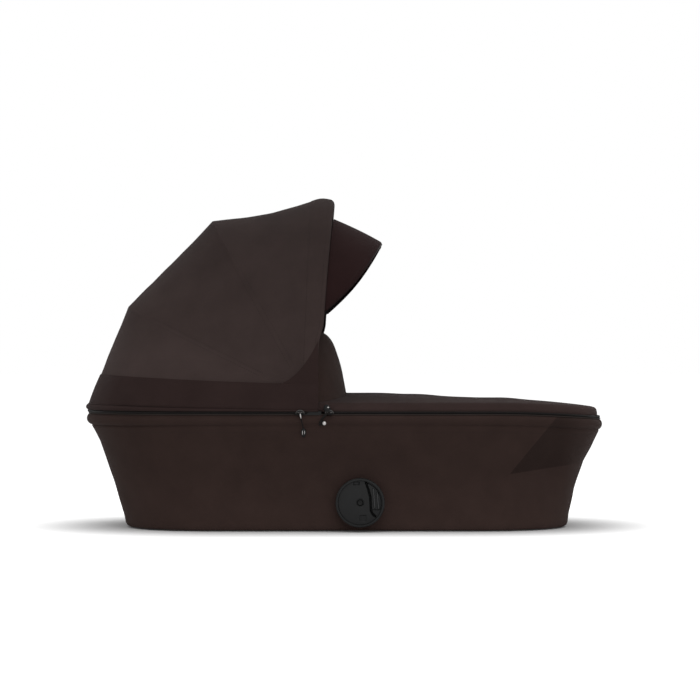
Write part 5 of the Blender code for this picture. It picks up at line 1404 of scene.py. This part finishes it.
def make_hood_pull(name, x, side, looks):
    """A cord that slants to the foot end, with a metal link, a black case and two slim beads on it."""
    path = pull_cord(name, x, side, HOOD_PULL_ROUTE, 0.0010, looks["cord"])
    slope = path[9] - path[3]
    lean = np.arctan2(slope[0], -slope[2])
    place = (path[6][0], PULL_OUT + 0.0006, path[6][2])
    link_piece = pebble(f"{name}_pull_link", place, LINK_SIZE, side, looks["bright"], 0.25, 0.6, lean)
    place = (path[-1][0], PULL_OUT, path[-1][2] - CASE_SIZE[1] / 2 + 0.0015)
    case = pebble(f"{name}_pull_case", place, CASE_SIZE, side, looks["black"], 0.22, 0.62)
    for made in (link_piece, case, *pull_beads(name, x, side, HOOD_PULL_BEADS, looks["bright"])):
        dress(made, f"{name}_pull")


def make_apron_pull(name, x, side, looks):
    """A thicker cord that slants to the head end, with a round bead on a dark tab beside it."""
    pull_cord(name, x, side, APRON_PULL_ROUTE, 0.0018, looks["cord"])
    along, out, up = TAB_PLACE
    place = (x + along, PULL_OUT + out, ZIP_MIDDLE + up)
    tab = pebble(f"{name}_pull_link", place, TAB_SIZE, side, looks["cord"], 0.25, 0.6)
    for made in (tab, *pull_beads(name, x, side, APRON_PULL_BEADS, looks["bright"])):
        dress(made, f"{name}_pull")


def make_zips(tape_look, tooth_look, bright_look, dark_look, black_look):
    for word in ZIPS:
        make_zip(word, tape_look, tooth_look)
    looks = {"bright": bright_look, "dark": dark_look, "black": black_look, "cord": tape_look}
    for word, side in SIDES:
        hood, apron = f"hood_zip_{word}", f"apron_zip_{word}"
        make_slider(hood, HOOD_SLIDER_X, side, looks)
        make_slider(apron, APRON_SLIDER_X, side, looks)
        # A dark cap as painted shadow and a bright bead as painted highlight on each apron slider
        make_slider_shade_and_glint(apron, APRON_SLIDER_X, side, looks)
        make_hood_pull(hood, HOOD_SLIDER_X, side, looks)
        make_apron_pull(apron, APRON_SLIDER_X, side, looks)


# Hub


def on_hub(u, out, w, side):
    """Points at u and w from the hub's centre, and this far out from the cot's middle."""
    return stacked(HUB_CENTRE[0] + u, side * out, HUB_CENTRE[1] + w)


def distance_to(u, w, line):
    """How far each point is from a bent line."""
    nearest = np.full(np.shape(u), 1.0)
    for (x0, z0), (x1, z1) in zip(line, line[1:]):
        share = ((u - x0) * (x1 - x0) + (w - z0) * (z1 - z0)) / ((x1 - x0) ** 2 + (z1 - z0) ** 2)
        share = np.clip(share, 0.0, 1.0)
        nearest = np.minimum(nearest, np.hypot(u - mix(x0, x1, share), w - mix(z0, z1, share)))
    return nearest


def beyond_box(u, w, centre, half):
    return np.maximum(np.abs(u - centre[0]) - half[0], np.abs(w - centre[1]) - half[1])


def sunk(distance, depth):
    """A recess where the distance is below zero, with softened edges."""
    soft = 0.00045
    return depth * (1 - smoothstep(-soft, soft, distance))


def release_edge(w):
    """The left edge of the release, at a height over the hub's centre."""
    return np.interp(w, *RELEASE_LEFT)


def hub_recess(u, w):
    """How deep the face plate is cut at each point: groove, release pocket, screw seat and two windows."""
    r = np.hypot(u, w)
    pocket = np.maximum(np.maximum(release_edge(w) - u, RELEASE_LOW - w), r - RELEASE_ROUND)
    groove = distance_to(u, w, HUB_GROOVE) - GROOVE_HALF_WIDTH
    cuts = [sunk(groove, GROOVE_DEPTH), sunk(pocket, POCKET_DEPTH)]
    cuts += [sunk(r - radius, depth) for radius, depth in SCREW_SEAT]
    cuts += [sunk(beyond_box(u, w, centre, half), depth) for centre, half, depth in HUB_WINDOWS]
    return np.max(np.stack(cuts), axis=0) + HUB_DISH * (r / HUB_PLATE_RADIUS) ** 3


def turned(name, profile, side, material, columns=144, facets=()):
    """A piece turned about the hub's axis, from pairs of out and radius. facets names six-sided rows."""
    angles = np.linspace(0.0, 2 * pi, columns, endpoint=False)
    rows = []
    for number, (out, radius) in enumerate(profile):
        around = np.full(columns, radius)
        if number in facets:
            around = radius * cos(pi / 6) / np.cos(np.mod(angles, pi / 3) - pi / 6)
        rows.append(on_hub(around * np.cos(angles), out, around * np.sin(angles), side))
    inside = (HUB_CENTRE[0], side * (profile[0][0] - 0.004), HUB_CENTRE[1])
    return close_ends(grid_piece(name, np.stack(rows), material, closed=True, inside=inside))


def make_hub_lip(word, side, look):
    profile = [(HUB_FACE_OUT + out, HUB_RADIUS + radius) for out, radius in (*HUB_LIP, HUB_LIP[0])]
    dress(turned(f"hub_lip_{word}", profile, side, look), "cot")


def make_hub_face(word, side, look):
    """The face plate, with its groove, pocket and recesses."""
    angles = np.linspace(0.0, 2 * pi, 256, endpoint=False)
    rows = []
    for r in (*np.linspace(0.0040, HUB_PLATE_RADIUS - 0.0004, 92), HUB_PLATE_RADIUS):
        u, w = r * np.cos(angles), r * np.sin(angles)
        edge = 0.0004 if r == HUB_PLATE_RADIUS else 0.0
        rows.append(on_hub(u, HUB_PLATE_OUT - hub_recess(u, w) - edge, w, side))
    inside = (HUB_CENTRE[0], side * 0.15, HUB_CENTRE[1])
    disc = grid_piece(f"hub_face_{word}", np.stack(rows), look, closed=True, inside=inside, thickness=0.0012)
    dress(disc, "cot", f"hub_plate_{word}")


def make_hub_slide(word, side, look):
    """The release with its two ribs, and a skirt all round that reaches back into its pocket."""
    heights = np.linspace(RELEASE_LOW + RELEASE_GAP, 0.0300, 90)
    levels = (heights[0], *heights, heights[-1])
    rows = []
    for number, w in enumerate(levels):
        left = release_edge(w) + RELEASE_GAP / 2
        right = ((RELEASE_ROUND - RELEASE_GAP) ** 2 - w**2) ** 0.5
        u = mix(left, max(right, left + 0.001), np.array([0.0, *np.linspace(0.0, 1.0, 60), 1.0]))
        rise = np.full(len(u), -0.0006)
        for line, (height, *edge) in zip(HUB_RIBS, RIB_FORMS):
            rise = rise + height * (1 - smoothstep(*edge, distance_to(u, w, line)))
        rise[0] = rise[-1] = RELEASE_SKIRT
        if number in (0, len(levels) - 1):
            rise[:] = RELEASE_SKIRT
        rows.append(on_hub(u, HUB_PLATE_OUT + rise, w, side))
    inside = (HUB_CENTRE[0], side * 0.15, HUB_CENTRE[1])
    slide = grid_piece(f"hub_slide_{word}", np.stack(rows), look, inside=inside, thickness=0.0008)
    close_ends(slide)
    dress(slide, f"hub_release_{word}", f"hub_release_{word}")


def make_hub_screw(word, side, look):
    top = HUB_PLATE_OUT - 0.0009
    head = [(top + out, radius) for out, radius in SCREW_HEAD]
    screw = turned(f"hub_screw_head_{word}", head, side, look, 72, (5, 6))
    dress(screw, "cot", f"hub_screw_{word}")


def make_hub_marks(word, side, groove_shade_look, rib_highlight_look):
    """A near-black strip along the floor of the hub's groove, a painted shade, and pale strips on the tops
    of the release's ribs, painted highlights.
    """
    marks = [("hub_groove_painted_shade", HUB_GROOVE, -0.0046, 0.0012, groove_shade_look, "cot")]
    for number, line in enumerate(HUB_RIBS):
        rise = 0.0010 + 0.0004 * number
        marks.append((f"hub_rib_top_{number}", line, rise, 0.0008, rib_highlight_look, f"hub_release_{word}"))
    for name, line, rise, radius, look, body in marks:
        u, w = resample(np.array(line), 40).T
        made = rope(f"{name}_{word}", on_hub(u, HUB_PLATE_OUT + rise, w, side), radius, look, sides=8)
        dress(made, body)


# The whole cot


def finish_nodes(looks):
    """Gives the frame's own pieces their materials and softens their edges."""
    for names, material, edge in looks:
        for name in names:
            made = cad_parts[name]
            for slot in made.material_slots:
                slot.material = material
            if edge:
                soften = made.modifiers.new("soft edges", "BEVEL")
                soften.width = edge
                soften.segments = 2
                soften.limit_method = "ANGLE"
                soften.angle_limit = radians(38)
                soften.harden_normals = True


def both(name):
    return f"{name}_right", f"{name}_left"


def finish_frame(hub_look):
    """The looks of the solids that stay: tray, tubes, frames, bows, pads and pins."""
    frame_look = plastic("frame nylon", PLASTIC_COLOUR, 0.5)
    rubber_look = plastic("foot rubber", RUBBER_COLOUR, 0.75, 600.0)
    steel_look = metal("zinc-plated steel", STEEL_COLOUR, 0.34)
    tube_look = metal("drawn aluminium", ALUMINIUM_COLOUR, 0.30)
    pads = tuple(f"foot_pad_{number}" for number in range(1, 5))
    frames = ("end_frame_head", "end_frame_foot")
    bows = ("rear_bow", "middle_bow", "front_bow", "visor_bow")
    finish_nodes((
        (("base_tray", *both("side_bracket")), frame_look, 0.0),
        (pads, rubber_look, 0.0008),
        (both("hub_housing"), hub_look, 0.0),
        ((*bows, *both("hinge_bracket")), frame_look, 0.0),
        (("rim_tube_head", "rim_tube_foot"), tube_look, 0.0),
        ((*frames, *both("release_spring"), *both("hood_pivot"), *both("visor_pin")), steel_look, 0.0),
    ))


def build_soft_parts(thread):
    """Cover, lining, mattress, hood, visor, apron and wind flap, each with its own cloth."""
    cover_fabric = fabric("cover fabric", COVER_COLOUR)
    paint_light_and_shade_on_cover(cover_fabric)
    hood_fabric = fabric("hood fabric", HOOD_COLOUR)
    # Painted light and shade on the hood: paler low, darker high
    paint_light_by_height(hood_fabric, *HOOD_PAINTED_LIGHT)
    band_fabric = fabric("band fabric", BAND_COLOUR)
    apron_fabric = fabric("apron fabric", APRON_COLOUR)
    # Painted light on the apron: its skirt paler than its top
    paint_light_by_height(apron_fabric, *APRON_PAINTED_LIGHT)
    make_tub_cover(cover_fabric, thread)
    make_lining(fabric("lining fabric", LINING_COLOUR, weave=0.0014, roughness=0.88))
    make_mattress(fabric("mattress fabric", MATTRESS_COLOUR, weave=0.0012, mottle=0.05, roughness=0.9))
    make_band(band_fabric, thread)
    for word, side in SIDES:
        make_gusset(word, side, band_fabric)
    make_canopy(hood_fabric, thread)
    make_front_hem(hood_fabric, thread)
    make_visor(fabric("visor fabric", VISOR_COLOUR), thread)
    make_apron(apron_fabric, thread)
    make_wind_flap(fabric("flap fabric", COVER_COLOUR), thread)


def build_all():
    build_soft_parts(fabric("thread", THREAD_COLOUR, weave=0.0004, roughness=0.6))
    tape_look = fabric("zip tape", ZIP_COLOUR, weave=0.0006, roughness=0.7)
    tooth_look = plastic("zip coil", ZIP_COLOUR, 0.38, 2500.0)
    bright_look = metal("nickel-plated zinc", BRIGHT_COLOUR, 0.24)
    black_look = metal("blackened zinc", BLACKENED_COLOUR, 0.38)
    make_zips(tape_look, tooth_look, bright_look, metal("dark nickel", DARK_NICKEL_COLOUR, 0.30), black_look)
    hub_look = plastic("hub nylon", HUB_COLOUR, 0.46)
    release_look = plastic("release nylon", HUB_COLOUR, 0.40, 1300.0)
    # Painted shade along the hub's groove
    groove_shade_look = plastic("groove painted shade", GROOVE_PAINTED_SHADE_COLOUR, 0.7)
    # Painted highlights on the tops of the release's ribs
    rib_highlight_look = plastic("rib painted highlight", RIB_HIGHLIGHT_COLOUR)
    for word, side in SIDES:
        make_hub_lip(word, side, hub_look)
        make_hub_face(word, side, hub_look)
        make_hub_slide(word, side, release_look)
        make_hub_screw(word, side, black_look)
        make_hub_marks(word, side, groove_shade_look, rib_highlight_look)
    finish_frame(hub_look)


# Floor, surround, light and camera


def make_floor():
    """A pale floor that keeps the cot's cast shadow and adds painted shadow round its base, where its glow
    is dimmed, whitening away from it.
    """
    mesh = bpy.data.meshes.new("floor")
    size = 30.0
    corners = [(-size, -size, 0), (size, -size, 0), (size, size, 0), (-size, size, 0)]
    mesh.from_pydata(corners, [], [(0, 1, 2, 3)])
    floor = link("floor", mesh)
    paper = new_material("paper floor", {})
    nodes = Nodes(paper)
    paper.node_tree.nodes.remove(shader_of(paper))
    grain = nodes.noise(nodes.place(), scale=60.0, detail=4.0)
    tint = nodes.ramp(grain, (0.3, 0.7), ((0.80, 0.80, 0.80), (0.83, 0.83, 0.83)))
    plain = nodes.add("ShaderNodeBsdfDiffuse", {"Color": tint})
    apart = nodes.apart(nodes.place())
    sides = []
    for axis, half in (("X", BASE_HALF_LENGTH), ("Y", BASE_HALF_WIDTH)):
        past = nodes.minus(nodes.maths("ABSOLUTE", apart[axis]), half - BASE_CORNER)
        sides.append(nodes.maths("POWER", nodes.maths("MAXIMUM", past, 0.0), 2.0))
    away = nodes.minus(nodes.maths("SQRT", nodes.plus(*sides)), BASE_CORNER)
    # The glow fades out towards the base: painted shadow round the cot, over the shadow it casts
    low, high = FLOOR_GLOW
    near = {"Value": away, "From Min": 0.0, "From Max": SHADOW_REACH, "To Min": low, "To Max": high}
    strength = nodes.add("ShaderNodeMapRange", near, interpolation_type="SMOOTHSTEP").outputs["Result"]
    glow = nodes.add("ShaderNodeEmission", {"Color": (1.0, 1.0, 1.0, 1.0), "Strength": strength})
    lit = nodes.add("ShaderNodeAddShader", {0: plain.outputs[0], 1: glow.outputs[0]})
    seen = nodes.seen_directly()
    shown = nodes.add("ShaderNodeMixShader", {0: seen, 1: plain.outputs[0], 2: lit.outputs[0]})
    paper.node_tree.links.new(shown.outputs[0], paper.node_tree.nodes["Material Output"].inputs["Surface"])
    mesh.materials.append(paper)


def make_surround():
    """A surround that looks white and lights the cot more softly than it looks."""
    world = bpy.data.worlds.new("studio")
    bpy.context.scene.world = world
    world.use_nodes = True
    nodes = Nodes(world)
    background = world.node_tree.nodes["Background"]
    background.inputs["Color"].default_value = (1.0, 1.0, 1.0, 1.0)
    strength = nodes.map_range(nodes.seen_directly(), *SURROUND_LIGHT)
    world.node_tree.links.new(strength, background.inputs["Strength"])


def add_area_light(name, place, target, size, power):
    light = bpy.data.lights.new(name, "AREA")
    light.shape = "SQUARE"
    light.size = size
    light.energy = power
    made = bpy.data.objects.new(name, light)
    made.location = place
    made.rotation_euler = (Vector(target) - Vector(place)).to_track_quat("-Z", "Y").to_euler()
    bpy.context.scene.collection.objects.link(made)


def make_stage():
    make_floor()
    make_surround()
    add_area_light("top softbox", (0.1, -0.2, 2.6), (0.0, 0.0, 0.2), 3.0, 30.0)
    add_area_light("front softbox", (0.6, -3.4, 1.3), (0.0, 0.0, 0.25), 2.4, 26.0)


def make_camera():
    camera = bpy.data.cameras.new("photo view")
    camera.sensor_width = 36.0
    camera.lens = CAMERA_LENS
    made = bpy.data.objects.new("photo view", camera)
    made.location = CAMERA_PLACE
    made.rotation_euler = (pi / 2, 0.0, 0.0)
    bpy.context.scene.collection.objects.link(made)
    bpy.context.scene.camera = made


make_camera()
make_stage()
build_all()
bpy.context.scene.view_settings.view_transform = "Standard"
